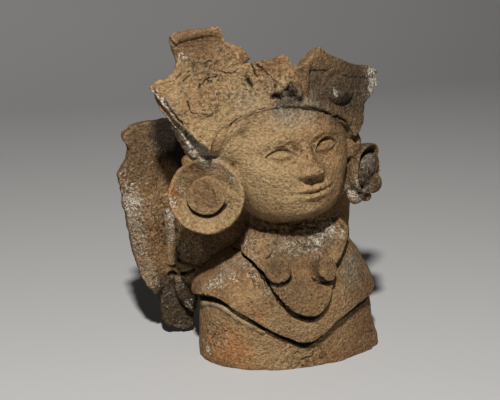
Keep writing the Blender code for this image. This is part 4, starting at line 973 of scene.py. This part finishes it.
def add_jar(clay):
    levels = spread(0.0, BAND_BOTTOM, 10)[:-1] + spread(BAND_BOTTOM, RIM_HEIGHT, 16)
    rings = [[Vector((p.x, p.y, -SINK)) for p in jar_ring(0.0)]] + [jar_ring(level) for level in levels]
    add_loft(clay, rings)
    add_loft(clay, [jar_ring(BAND_BOTTOM + BAND_HEIGHT * up, BAND_PROUD * out) for up, out in BAND_PROFILE])


def add_flange(clay):
    def place(reach, height, depth):
        wave = FLANGE_WAVE * math.sin(2 * math.pi * height / WAVE_LENGTH) * smooth_step(reach / WAVE_START)
        fade = smooth_step((SWELL_TOP - height) / SWELL_FADE)
        swell = sum(proud * bump(reach - middle, half) for middle, half, proud in FLANGE_SWELLS)
        return jar_side(reach, height, JAR_MIDDLE_Y + depth + wave - fade * swell)

    half = FLANGE_THICKNESS / 2
    add_plate(clay, worn(FLANGE_OUTLINE, 0.00025, 6), -half, half, place)
    add_coil(clay, [jar_side(reach, height, JAR_MIDDLE_Y - half) for reach, height in FOLD], FOLD_RADIUS)


def add_tabs(clay):
    def place(inwards, height, y):
        return jar_side(-inwards, height, y)

    half = TAB_THICKNESS / 2
    for y, outline in ((BACK_TAB_Y, BACK_TAB_OUTLINE), (FRONT_TAB_Y, FRONT_TAB_OUTLINE)):
        add_plate(clay, worn(outline, 0.0003, 7), y - half, y + half, place)


def chest_hollow():
    """The room inside the figure's body, which closes like a dome towards the chest."""
    cutter = bmesh.new()
    rings = []
    for share in spread(0, 1, 24):
        height = FLOOR + (BODY_HEIGHT * CHEST_HOLLOW_TOP_SHARE - FLOOR) * share
        middle, half_width, front, back = curve_at(BODY_KEYS, height)
        close = math.sqrt(1 - (CHEST_HOLLOW_CLOSE_SHARE * share**3) ** 2)
        ring = []
        for turn in circle(96):
            depth = front if math.cos(turn) > 0 else back
            x = middle + (half_width - BODY_WALL) * close * math.sin(turn)
            ring.append(Vector((x, -(depth - BODY_WALL) * close * math.cos(turn), height)))
        rings.append(ring)
    add_loft(cutter, rings)
    return cutter


def jar_hollow():
    """The room inside the jar, open at the rim."""
    cutter = bmesh.new()
    levels = list(JAR_HOLLOW_FOOT)
    levels += [(height, JAR_WALL) for height in spread(BAND_BOTTOM, RIM_HEIGHT, 24) + [RIM_HEIGHT + OVERCUT]]
    add_loft(cutter, [jar_ring(height, -wall) for height, wall in levels])
    return cutter


def ground():
    cutter = bmesh.new()
    bmesh.ops.create_cube(cutter, size=1.0, matrix=Matrix.Translation((0, 0, -0.5)))
    return cutter


def make_object(name, shape):
    bmesh.ops.recalc_face_normals(shape, faces=shape.faces[:])
    mesh = bpy.data.meshes.new(name)
    shape.to_mesh(mesh)
    shape.free()
    mesh.shade_smooth()
    piece = bpy.data.objects.new(name, mesh)
    bpy.context.scene.collection.objects.link(piece)
    return piece


def settle(piece):
    """Applies the piece's modifiers."""
    done = bpy.data.meshes.new_from_object(piece.evaluated_get(bpy.context.evaluated_depsgraph_get()))
    piece.modifiers.clear()
    old = piece.data
    piece.data = done
    bpy.data.meshes.remove(old)


def triples(items, name):
    """Three numbers of every item, in one row each."""
    flat = np.empty(3 * len(items))
    items.foreach_get(name, flat)
    return flat.reshape(-1, 3)


def soften(piece, iterations, group=""):
    """Adds a modifier that smooths the piece, or only one group of its vertices."""
    smooth = piece.modifiers.new("soften", "SMOOTH")
    smooth.factor, smooth.iterations, smooth.vertex_group = 0.5, iterations, group


def vertices(mesh):
    return triples(mesh.vertices, "co")


def normals(mesh):
    return triples(mesh.vertex_normals, "vector")


def move_vertices(mesh, places):
    mesh.vertices.foreach_set("co", places.ravel())
    mesh.update()


def store(mesh, name, values):
    """Keeps one number for each vertex, which the material reads."""
    attribute = mesh.attributes.get(name) or mesh.attributes.new(name, "FLOAT", "POINT")
    attribute.data.foreach_set("value", np.asarray(values, dtype=np.float32))


# Number of random draws that the cells of a noise share, a power of 2
DRAWS = 4096
# Primes that mix the three numbers of a cell, the seed, and what comes of both
CELL_PRIMES = (73856093, 19349663, 83492791)
SEED_PRIME = 2654435761
MIXING_PRIME = 1274126177


def hashed(cells, seed):
    """The number of a draw for each cell, mixed well."""
    x, y, z = (cells * CELL_PRIMES).T
    mixed = x ^ y ^ z ^ (seed * SEED_PRIME + 12345)
    mixed ^= mixed >> 13
    mixed *= MIXING_PRIME
    mixed ^= mixed >> 16
    return mixed & (DRAWS - 1)


def noise(places, size, seed):
    """Smooth noise between -1 and 1, with bumps about one size across."""
    table = np.random.default_rng(seed).uniform(-1, 1, DRAWS)
    spots = places / size + 100.0
    cells = np.floor(spots).astype(np.int64)
    inside = spots - cells
    inside = inside * inside * (3 - 2 * inside)
    total = np.zeros(len(places))
    for corner in itertools.product((0, 1), repeat=3):
        weight = np.prod(np.where(corner, inside, 1 - inside), axis=1)
        total += weight * table[hashed(cells + corner, seed)]
    return total


def pits(places, size, seed, share):
    """Round pits, one in some of the cells of a grid: 1 in a pit's middle and 0 outside it."""
    draw = np.random.default_rng(seed)
    spots = draw.uniform(0.2, 0.8, (DRAWS, 3))
    chosen = draw.uniform(0, 1, DRAWS) < share
    wide = draw.uniform(0.25, 0.5, DRAWS)
    where = places / size + 100.0
    cells = np.floor(where).astype(np.int64)
    deepest = np.zeros(len(places))
    for step in itertools.product((-1, 0, 1), repeat=3):
        cell = cells + step
        number = hashed(cell, seed)
        away = np.linalg.norm(where - cell - spots[number], axis=1) / wide[number]
        depth = np.where(chosen[number], 1 - away * away, 0)
        deepest = np.maximum(deepest, depth)
    return deepest


def blobs(places, rows, edge=4.0):
    """The strongest of some round spots: middle, radius and strength. A high edge makes them crisp."""
    total = np.zeros(len(places))
    for x, y, z, radius, strength in rows:
        away = np.linalg.norm(places - MM * np.array((x, y, z)), axis=1) / (MM * radius)
        total = np.maximum(total, strength * np.exp(-(away**edge) / 2))
    return total


def noises(places, rows):
    """The sum of some noises, each its depth, size, seed and how much it is squeezed in height."""
    return sum(deep * noise(places * (1, 1, squeeze), size, seed) for deep, size, seed, squeeze in rows)


def ramp(values, low, high):
    share = np.clip((values - low) / (high - low), 0, 1)
    return share * share * (3 - 2 * share)


def across_line(places, outward, points):
    """How far each place is across a line drawn on the skin, how far from the line, and the line's taper."""
    side, gap = np.zeros(len(places)), np.full(len(places), 1.0)
    taper = np.zeros(len(places))
    low, high = points.min(axis=0) - CRACK_REACH, points.max(axis=0) + CRACK_REACH
    index = np.flatnonzero(np.all((places > low) & (places < high), axis=1))
    here, out = places[index], outward[index]
    lengths = np.linalg.norm(np.diff(points, axis=0), axis=1)
    starts = np.concatenate(([0.0], np.cumsum(lengths)))
    for a, b, length, start in zip(points, points[1:], lengths, starts):
        along = (b - a) / length
        t = np.clip((here - a) @ along, 0.0, length)
        offset = here - a - t[:, None] * along
        away = np.linalg.norm(offset, axis=1)
        closer = away < gap[index]
        chosen = index[closer]
        gap[chosen] = away[closer]
        side[chosen] = np.einsum("ij,ij->i", np.cross(along, out), offset)[closer]
        travelled = (start + t)[closer]
        taper[chosen] = np.clip(np.minimum(travelled, starts[-1] - travelled) / CRACK_TAPER, 0, 1)
    return side, gap, taper


def crack_lines():
    """Every crack as its half width, depth, darkness and points, in metres."""
    lines = []
    for half, deep, dark, points in HEADDRESS_CRACKS:
        on_skin = np.array([slab_point(MM * u, MM * v, 0.0) for u, v in points])
        lines.append((MM * half, MM * deep, dark, on_skin))
    for half, deep, dark, points in SKIN_CRACKS:
        lines.append((MM * half, MM * deep, dark, MM * np.array(points)))
    return lines


def crack_shift(mesh, places, outward):
    """Depth of the cracks. It keeps how far a vertex is across one, in half widths, and how near it is."""
    drift = np.stack([noise(places, 0.0024, seed) for seed in (51, 52, 53)], axis=1)
    drift += 1.1 * np.stack([noise(places, 0.0055, seed) for seed in (54, 55, 56)], axis=1)
    wandering = places + CRACK_DRIFT * drift
    broken = np.clip(0.8 + 1.0 * noise(places, 0.0038, 57), 0, 1)
    shift, side, near = np.zeros(len(places)), np.full(len(places), 4.0), np.zeros(len(places))
    for half, deep, dark, points in crack_lines():
        across, gap, taper = across_line(wandering, outward, points)
        taper *= broken
        nearness = min(dark, 1.0) * np.clip(taper * max(dark, 1.0), 0, 1)
        nearness *= np.clip((CRACK_REACH - gap) / (0.4 * CRACK_REACH), 0, 1)
        closer = nearness > near
        near[closer] = nearness[closer]
        side[closer] = across[closer] / half
        depth = deep * taper * np.clip(1 - np.abs(across) / (1.8 * half), 0, 1)
        shift = np.maximum(shift, np.where(gap < CRACK_REACH, depth, 0))
    store(mesh, "across", np.clip(side, -4, 4))
    store(mesh, "near", near)
    return shift


def dent_shift(places):
    shift = np.zeros(len(places))
    dents = [(slab_point(MM * u, MM * v, 0.0), radius, deep) for u, v, radius, deep in HEADDRESS_DENTS]
    dents += [(MM * Vector((x, y, z)), radius, deep) for x, y, z, radius, deep in SKIN_DENTS]
    for middle, radius, deep in dents:
        away = np.linalg.norm(places - np.array(middle), axis=1) / (MM * radius)
        shift = np.maximum(shift, MM * deep * np.exp(-(away**3)))
    return shift


def dips(mesh, iterations):
    """How deep each vertex lies below the skin smoothed around it: dips are positive and edges negative."""
    copy = bpy.data.objects.new("smoothed", mesh.copy())
    bpy.context.scene.collection.objects.link(copy)
    soften(copy, iterations)
    settle(copy)
    deep = np.einsum("ij,ij->i", vertices(copy.data) - vertices(mesh), normals(mesh))
    smoothed = copy.data
    bpy.data.objects.remove(copy)
    bpy.data.meshes.remove(smoothed)
    return deep


# Wear of the skin, in metres. Bumps: height, size, seed and how much they are squeezed in height
SWELLS = ((0.00070, 0.022, 11, 1.6), (0.00042, 0.0095, 12, 1.0))
GRAIN = ((0.00020, 0.0046, 21, 1.0), (0.00018, 0.0026, 22, 1.0))
HOLLOW_SWELLS = ((0.0008, 0.022, 101, 1.0), (0.0004, 0.009, 102, 1.0))
SKIN_CREASE_DEPTH = 0.00050
LUMP_DEPTH = 0.00085
SMALL_PIT_DEPTH = 0.00045
PIT_DEPTH = 0.00060
EDGE_WEAR = 0.00055
FOOT_WEAR = 0.0012
RIM_WEAR = 0.0012
RIM_CHIP = 0.0030


def rim_wear(places):
    """How far the jar's rim is worn down."""
    x, y, z = places.T
    across = np.hypot(x / JAR_HALF_WIDTH, (y - JAR_MIDDLE_Y) / JAR_HALF_DEPTH)
    at_rim = ramp(across, 0.70, 0.78) * ramp(z, RIM_HEIGHT - 0.014, RIM_HEIGHT) * (z < RIM_HEIGHT + 0.001)
    flat = places * (1, 1, 0)
    worn_down = RIM_WEAR + RIM_WEAR * noise(flat, 0.024, 61) + RIM_CHIP * pits(flat, 0.030, 62, 0.3)
    return at_rim * worn_down


def below_edge(places, keys, reach, tight=1.0):
    """1 just below an edge that runs round the body, and 0 further down. A high tight narrows one side."""
    x, y, z = places.T
    angles = np.arange(keys[0][0], keys[-1][0] + 1.0)
    edges = [edge_height(keys, angle) for angle in angles]
    turns = np.degrees(np.arctan2(x / BODY_HALF_WIDTH, -y / BODY_DEPTH))
    steep = np.hypot(1, np.gradient(edges) / (BODY_DEPTH * math.radians(1)))
    drop = (np.interp(turns, angles, edges, left=-1, right=-1) - z) * np.interp(turns, angles, steep)
    drop *= np.interp(turns, (-30, -14), (tight, 1))
    return ramp(drop, reach, 0.75 * reach) * (drop > -0.0012) * (y < 0.02)


def ring_below(places, frame, half_width, half_height):
    """1 round the lower half of a round lump that stands on a frame."""
    place = np.array(frame.inverted())
    x, y, _ = (places @ place[:3, :3].T + place[:3, 3]).T
    near = np.linalg.norm(places - np.array(frame.translation), axis=1) < 2 * half_height
    away = (np.hypot(x / half_width, y / half_height) - 1) * half_height
    ring = ramp(away, 0.42 * SHADOW_REACH, 0.22 * SHADOW_REACH) * ramp(-away, 0.0010, 0.0003)
    return near * ring * ramp(-y, 0.2 * half_height, 0.6 * half_height)


def painted_shadow(places):
    """Painted shadow below the hems, below the pellets and below the boss."""
    shaded = below_edge(places, CAPE_HEM, SHADOW_REACH)
    shaded = np.maximum(shaded, below_edge(places, BIB_EDGE, 0.9 * SHADOW_REACH, 2.6))
    for pellet in PELLETS:
        shaded = np.maximum(shaded, ring_below(places, pellet_frame(pellet), *pellet[2:4]))
    return np.maximum(shaded, ring_below(places, disc_frame(RIGHT_DISC), BOSS_RADIUS, BOSS_RADIUS))


def weather(mesh):
    """Moves the skin in and out as worn, hand-pressed clay, and keeps the stains, painted light and painted
    shadow for the material.
    """
    places, outward = vertices(mesh), normals(mesh)
    edges = ramp(-dips(mesh, 14), 0.00025, 0.0010)
    rough = np.maximum(blobs(places, ROUGH_SPOTS), 0.15 * ramp(noise(places, 0.030, 71), 0.1, 0.9))
    seen = 0.3 + 0.7 * ramp(outward @ np.array(SHOWN_SIDE), -0.3, 0.2)
    creases = 1 - np.abs(noise(places * (1, 1, 1.7), 0.0052, 23)) * 4
    lumps = np.abs(noise(places, 0.0046, 24)) + 0.6 * np.abs(noise(places, 0.0024, 25))
    shift = noises(places, SWELLS) + seen * noises(places, GRAIN)
    shift -= SKIN_CREASE_DEPTH * rough * np.clip(creases, 0, 1) + LUMP_DEPTH * rough * (lumps - 0.5)
    shift -= SMALL_PIT_DEPTH * pits(places, 0.0036, 31, 0.30) * (0.5 + rough)
    shift -= PIT_DEPTH * pits(places, 0.0080, 41, 0.22)
    chips = noise(places, 0.0060, 81) + 0.5 * noise(places, 0.0025, 82)
    shift -= EDGE_WEAR * edges * np.clip(chips, 0, 1)
    foot = ramp(places[:, 2], 0.0045, 0.0)
    chips = 0.3 + noise(places, 0.0085, 91) + 0.5 * noise(places, 0.0035, 92)
    shift -= FOOT_WEAR * foot * np.clip(chips, 0, 1.4)
    shift -= crack_shift(mesh, places, outward) + dent_shift(places)
    moved = places + outward * shift[:, None]
    moved[:, 2] -= rim_wear(places)
    for kind, rows in STAINS.items():
        store(mesh, kind, blobs(places, rows, 2.4))
    store(mesh, "rough", rough)
    # Painted shadow: dark bands below the hems, the pellets and the boss, and the painted shadow spots
    store(mesh, "painted_shadow", np.maximum(painted_shadow(places), blobs(places, PAINTED_SHADOWS, 2.4)))
    move_vertices(mesh, moved)


def build_clay():
    clay = bmesh.new()
    add_body(clay)
    add_cape(clay)
    add_bib(clay)
    add_head(clay)
    add_headdress(clay)
    add_ear_disc(clay, RIGHT_DISC, DISC_RADIUS, WHOLE_LIP)
    add_ear_disc(clay, LEFT_DISC, LEFT_DISC_RADIUS, BROKEN_LIP)
    add_lumps(clay, disc_frame(LEFT_DISC), LEFT_DISC_LUMPS)
    add_jar(clay)
    add_flange(clay)
    add_tabs(clay)
    urn = make_object("urn_clay", clay)
    remesh = urn.modifiers.new("fuse", "REMESH")
    remesh.mode = "VOXEL"
    remesh.voxel_size = VOXEL
    soften(urn, 2)
    settle(urn)
    pressed = []
    for u in np.linspace(*FILLET, 13):
        middle = slab_point(u, band_edge_height(u) - 2 * FILLET_DROP, FILLET_SMOOTHED_DEPTH)
        pressed.append((*(middle / MM), FILLET_SMOOTHED, 1.0))
    weights = blobs(vertices(urn.data), pressed + list(SMOOTHED))
    group = urn.vertex_groups.new(name="pressed")
    for index in np.flatnonzero(weights > LEAST_SMOOTHED):
        group.add([int(index)], float(min(weights[index], 1.0)), "REPLACE")
    soften(urn, 50, "pressed")
    settle(urn)
    urn.vertex_groups.clear()
    return urn


def thin(urn):
    triangles = sum(len(face.vertices) - 2 for face in urn.data.polygons)
    decimate = urn.modifiers.new("thin", "DECIMATE")
    decimate.ratio = min(1.0, FACE_LIMIT / triangles)
    settle(urn)


def hollow(urn):
    cutters = [make_object("cutter", shape) for shape in (chest_hollow(), jar_hollow(), ground())]
    for cutter in cutters[:2]:
        places, outward = vertices(cutter.data), normals(cutter.data)
        move_vertices(cutter.data, places + outward * noises(places, HOLLOW_SWELLS)[:, None])
    for cutter in cutters:
        boolean = urn.modifiers.new("cut", "BOOLEAN")
        boolean.operation = "DIFFERENCE"
        boolean.solver = "MANIFOLD"
        boolean.object = cutter
    settle(urn)
    for cutter in cutters:
        bpy.data.objects.remove(cutter)


BROWN = (0.225, 0.120, 0.050, 1)
DARK_BROWN = (0.105, 0.055, 0.024, 1)
OCHRE = (0.360, 0.243, 0.118, 1)
RED_CLAY = (0.400, 0.150, 0.045, 1)
SOOT_AND_SHADE = (0.040, 0.028, 0.017, 1)
CHALK = (0.56, 0.53, 0.44, 1)
HAZE_AND_LIGHT = (0.270, 0.240, 0.185, 1)
# Near black: dirt in pits, cracks and crazing, and painted shade in dips, hollows and below hems
DIRT_AND_SHADE = (0.016, 0.010, 0.006, 1)
# Light tan: worn clay and grains, and a painted highlight on edges
WORN_AND_HIGHLIGHT = (0.400, 0.265, 0.135, 1)
BUMP_DEPTH = 0.0026
SPECULAR = 0.15


class Clay:
    """Builds the clay's material, one node for each call, with its colours laid one over the other."""

    def __init__(self, name):
        self.material = bpy.data.materials.new(name)
        self.material.use_nodes = True
        self.coords = self.add("TexCoord").outputs["Object"]
        self.colour = DARK_BROWN

    def fill(self, node, sockets):
        """Links each named input of a node to a socket, or sets it to a value."""
        for name, value in sockets.items():
            if isinstance(value, bpy.types.NodeSocket):
                self.material.node_tree.links.new(value, node.inputs[name])
            else:
                node.inputs[name].default_value = value

    def add(self, kind, sockets=None, **settings):
        node = self.material.node_tree.nodes.new("ShaderNode" + kind)
        for name, value in settings.items():
            setattr(node, name, value)
        self.fill(node, sockets or {})
        return node

    def place(self, seed):
        """The piece's own space, moved by the seed."""
        return self.add("Mapping", {0: self.coords, "Location": (seed, 2 * seed, 3 * seed)}).outputs[0]

    def noise(self, size, detail, rough, seed):
        """Noise between 0 and 1, with bumps about one size across, in metres."""
        sockets = {0: self.place(seed), "Scale": 1 / size, "Detail": detail, "Roughness": rough}
        return self.add("TexNoise", sockets).outputs[0]

    def cells(self, size, seed, feature="F1"):
        """How far it is to the middle of the nearest of some cells, in cells."""
        node = self.add("TexVoronoi", {0: self.place(seed), "Scale": 1 / size}, feature=feature)
        return node.outputs["Distance"]

    def kept(self, name):
        """A number that the mesh keeps for each vertex."""
        return self.add("Attribute", attribute_name=name).outputs["Fac"]

    def maths(self, operation, *numbers):
        return self.add("Math", dict(enumerate(numbers)), operation=operation).outputs[0]

    def times(self, a, b):
        return self.maths("MULTIPLY", a, b)

    def linear(self, value, gain, offset):
        return self.maths("MULTIPLY_ADD", value, gain, offset)

    def ragged(self, value, pattern, reach):
        """The value with a pattern added, which is 0 where the pattern is 0.5."""
        return self.maths("ADD", value, self.linear(pattern, reach, -reach / 2))

    def fade(self, value, low, high):
        """0 below low and 1 above high. With low above high it goes the other way."""
        sockets = {"Value": value, "From Min": low, "From Max": high}
        return self.add("MapRange", sockets, interpolation_type="SMOOTHSTEP").outputs[0]

    def lay(self, colour, share, *limits):
        """Lays a colour over those before it. Its share is multiplied by each limit."""
        for limit in limits:
            share = self.times(share, limit)
        self.colour = self.add("Mix", {0: share, 6: self.colour, 7: colour}, data_type="RGBA").outputs[2]


def clay_material():
    clay = Clay("fired_clay")
    patches = clay.noise(0.038, 3, 0.55, 1)
    mottle = clay.noise(0.013, 3, 0.5, 2)
    grain = clay.fade(clay.noise(0.0023, 2, 0.55, 3), 0.30, 0.70)
    grit = clay.noise(0.0011, 2, 0.6, 4)
    specks = clay.noise(0.0013, 2, 0.5, 5)
    streaks = clay.noise(0.006, 4, 0.6, 6)
    sand = clay.noise(0.0021, 1, 0.5, 11)
    granules = clay.cells(0.0022, 10, "SMOOTH_F1")

    clay.lay(BROWN, clay.fade(mottle, 0.24, 0.50))
    clay.lay(OCHRE, clay.fade(patches, 0.45, 0.70), 0.35)
    # Ochre tone, with painted light on the stub's top, on the strip below the hem and on the jar's wall
    # beside the flange
    ochre_and_light = clay.ragged(clay.kept("ochre_and_light"), mottle, 0.9)
    clay.lay(OCHRE, clay.fade(ochre_and_light, 0.0, 0.9), 0.9)
    red = clay.ragged(clay.kept("red"), streaks, 1.2)
    clay.lay(RED_CLAY, clay.fade(red, 0.10, 1.1), 0.80)
    clay.lay(DARK_BROWN, clay.fade(grain, 0.50, 0.0), 0.32)
    clay.lay(WORN_AND_HIGHLIGHT, clay.fade(grain, 0.60, 1.0), 0.26)
    coarse = clay.linear(clay.fade(clay.kept("rough"), 0.0, 0.6), 0.7, 0.3)
    clay.lay(DARK_BROWN, clay.fade(sand, 0.44, 0.34), clay.fade(ochre_and_light, 2.2, -0.2), coarse)
    clay.lay(WORN_AND_HIGHLIGHT, clay.fade(sand, 0.56, 0.68), clay.times(coarse, 0.65))
    # Worn edges, lighter, with a painted highlight along them
    clay.lay(WORN_AND_HIGHLIGHT, clay.fade(clay.kept("dip"), -0.08, -0.40), clay.fade(mottle, 0.25, 0.60))
    # Soot stains, with painted shade on the flange below the headdress, on the tabs and down the right-hand
    # side
    soot_and_shade = clay.fade(clay.ragged(clay.kept("soot_and_shade"), mottle, 0.5), 0.0, 0.90)
    soot_and_shade = clay.times(soot_and_shade, clay.linear(grain, -0.20, 0.99))
    clay.lay(SOOT_AND_SHADE, soot_and_shade)
    # Whitish haze, with painted light on the strip of clay below the hem
    haze_and_light = clay.ragged(clay.kept("haze_and_light"), streaks, 1.4)
    clay.lay(HAZE_AND_LIGHT, clay.fade(haze_and_light, 0.15, 1.1), clay.linear(grain, 0.45, 0.20))

    chalk = clay.maths("ADD", clay.kept("chalk"), clay.linear(grain, 0.6, -0.34))
    white = clay.fade(clay.ragged(chalk, specks, 1.8), 0.38, 1.10)
    flecks = clay.maths("ADD", specks, clay.times(clay.kept("haze_and_light"), 0.05))
    flecks = clay.times(clay.fade(flecks, 0.69, 0.75), clay.fade(patches, 0.30, 0.60))
    white = clay.maths("MAXIMUM", white, clay.times(flecks, 0.85))
    white = clay.times(white, clay.linear(soot_and_shade, -0.35, 0.8))
    clay.lay(CHALK, white)

    # Painted shade in small dips and in wider hollows
    clay.lay(DIRT_AND_SHADE, clay.fade(clay.kept("dip"), 0.04, 0.50), 0.90)
    clay.lay(DIRT_AND_SHADE, clay.fade(clay.kept("hollow"), 0.3, 2.0), 0.80)
    # Painted shadow, nearly black, below the hems, the pellets and the boss, and at the painted shadow spots
    clay.lay(DIRT_AND_SHADE, clay.fade(clay.ragged(clay.kept("painted_shadow"), grit, 0.5), 0.25, 0.65), 0.94)
    clay.lay(DIRT_AND_SHADE, clay.fade(granules, 0.46, 0.78), clay.fade(grain, 0.62, 0.30), 0.35)
    pit = clay.fade(clay.cells(0.0042, 7), 0.24, 0.10)
    pit = clay.times(pit, clay.fade(clay.noise(0.010, 2, 0.5, 8), 0.58, 0.66))
    clay.lay(DIRT_AND_SHADE, pit, 0.6)
    craze = clay.maths("ABSOLUTE", clay.maths("SUBTRACT", clay.noise(0.0060, 5, 0.62, 9), 0.5))
    craze = clay.times(clay.fade(craze, 0.020, 0.004), coarse)
    craze = clay.times(craze, clay.fade(mottle, 0.42, 0.56))
    clay.lay(DIRT_AND_SHADE, craze, 0.45)
    edge = clay.ragged(clay.maths("ABSOLUTE", clay.kept("across")), grit, 1.8)
    line = clay.times(clay.fade(edge, 1.15, 0.35), clay.fade(clay.kept("near"), 0.10, 0.80))
    clay.lay(DIRT_AND_SHADE, line, 0.92)

    height = clay.times(grit, 0.50)
    heights = ((grain, 0.26), (granules, -0.30), (white, 0.08), (pit, -0.4), (craze, -0.35), (line, -0.4))
    for pattern, gain in heights:
        height = clay.linear(pattern, gain, height)
    bumps = clay.add("Bump", {"Height": height, "Strength": 1.0, "Distance": BUMP_DEPTH})
    clay.fill(clay.material.node_tree.nodes["Principled BSDF"], {
        "Base Color": clay.colour,
        "Roughness": clay.linear(grain, -0.15, 0.95),
        "Normal": bumps.outputs[0],
        "Specular IOR Level": SPECULAR,
    })
    return clay.material


TARGET = Vector((-0.028, 0.0102, 0.124))
CAMERA_AZIMUTH = -20
CAMERA_RISE = 16
CAMERA_DISTANCE = 1.0
LENS = 90
SENSOR_WIDTH = 36
# Lamps: name, azimuth, rise, distance, size and power
LAMPS = (("key", -22, 47, 1.6, 0.10, 39), ("fill", 45, 25, 1.8, 1.2, 0.15))
SKY = (0.95, 0.97, 1.0, 1.0)
SKY_STRENGTH = 0.022
# Floor of paper that bends up into a backdrop
PAPER = (0.42, 0.41, 0.395, 1.0)
PAPER_ROUGHNESS = 0.9
PAPER_FRONT_Y = -1.5
BEND_START_Y = 1.0
BEND_RADIUS = 0.8
PAPER_TOP = 3.0
PAPER_HALF_WIDTH = 3.0


def direction(azimuth, rise):
    """From the object towards a place round it: azimuth 0 is in front of it."""
    a, b = math.radians(azimuth), math.radians(rise)
    return Vector((math.sin(a) * math.cos(b), -math.cos(a) * math.cos(b), math.sin(b)))


def aim(thing, azimuth, rise, distance, target=TARGET):
    away = direction(azimuth, rise)
    thing.location = target + away * distance
    thing.rotation_euler = away.to_track_quat("Z", "Y").to_euler()
    bpy.context.scene.collection.objects.link(thing)


def studio():
    scene = bpy.context.scene
    lens = bpy.data.cameras.new("camera")
    lens.lens, lens.sensor_width = LENS, SENSOR_WIDTH
    camera = bpy.data.objects.new("camera", lens)
    aim(camera, CAMERA_AZIMUTH, CAMERA_RISE, CAMERA_DISTANCE)
    scene.camera = camera
    for name, azimuth, rise, distance, size, power in LAMPS:
        lamp = bpy.data.lights.new(name, "AREA")
        lamp.shape = "DISK"
        lamp.size = size
        lamp.energy = power
        aim(bpy.data.objects.new(name, lamp), azimuth, rise, distance)
    world = bpy.data.worlds.new("studio")
    world.use_nodes = True
    world.node_tree.nodes["Background"].inputs["Color"].default_value = SKY
    world.node_tree.nodes["Background"].inputs["Strength"].default_value = SKY_STRENGTH
    scene.world = world
    scene.view_settings.view_transform = "Standard"

    sweep = bmesh.new()
    rows = [(PAPER_FRONT_Y, 0.0), (BEND_START_Y, 0.0)]
    for turn in map(math.radians, range(10, 91, 10)):
        rows.append((BEND_START_Y + BEND_RADIUS * math.sin(turn), BEND_RADIUS - BEND_RADIUS * math.cos(turn)))
    rows.append((BEND_START_Y + BEND_RADIUS, PAPER_TOP))
    half = PAPER_HALF_WIDTH
    pairs = [(sweep.verts.new((-half, y, z)), sweep.verts.new((half, y, z))) for y, z in rows]
    for (a, b), (c, d) in zip(pairs, pairs[1:]):
        sweep.faces.new((a, b, d, c))
    floor = make_object("floor", sweep)
    paper = bpy.data.materials.new("paper")
    paper.use_nodes = True
    shader = paper.node_tree.nodes["Principled BSDF"]
    shader.inputs["Base Color"].default_value = PAPER
    shader.inputs["Roughness"].default_value = PAPER_ROUGHNESS
    floor.data.materials.append(paper)


urn = build_clay()
weather(urn.data)
thin(urn)
hollow(urn)
# Dips and hollows, which the material darkens as painted shade, and edges, which it lightens as wear with a
# painted highlight
store(urn.data, "dip", dips(urn.data, 6) / MM)
store(urn.data, "hollow", dips(urn.data, 40) / MM)
urn.data.shade_smooth()
urn.data.materials.clear()
urn.data.materials.append(clay_material())
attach(urn, "root")
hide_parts("effigy_urn")
studio()
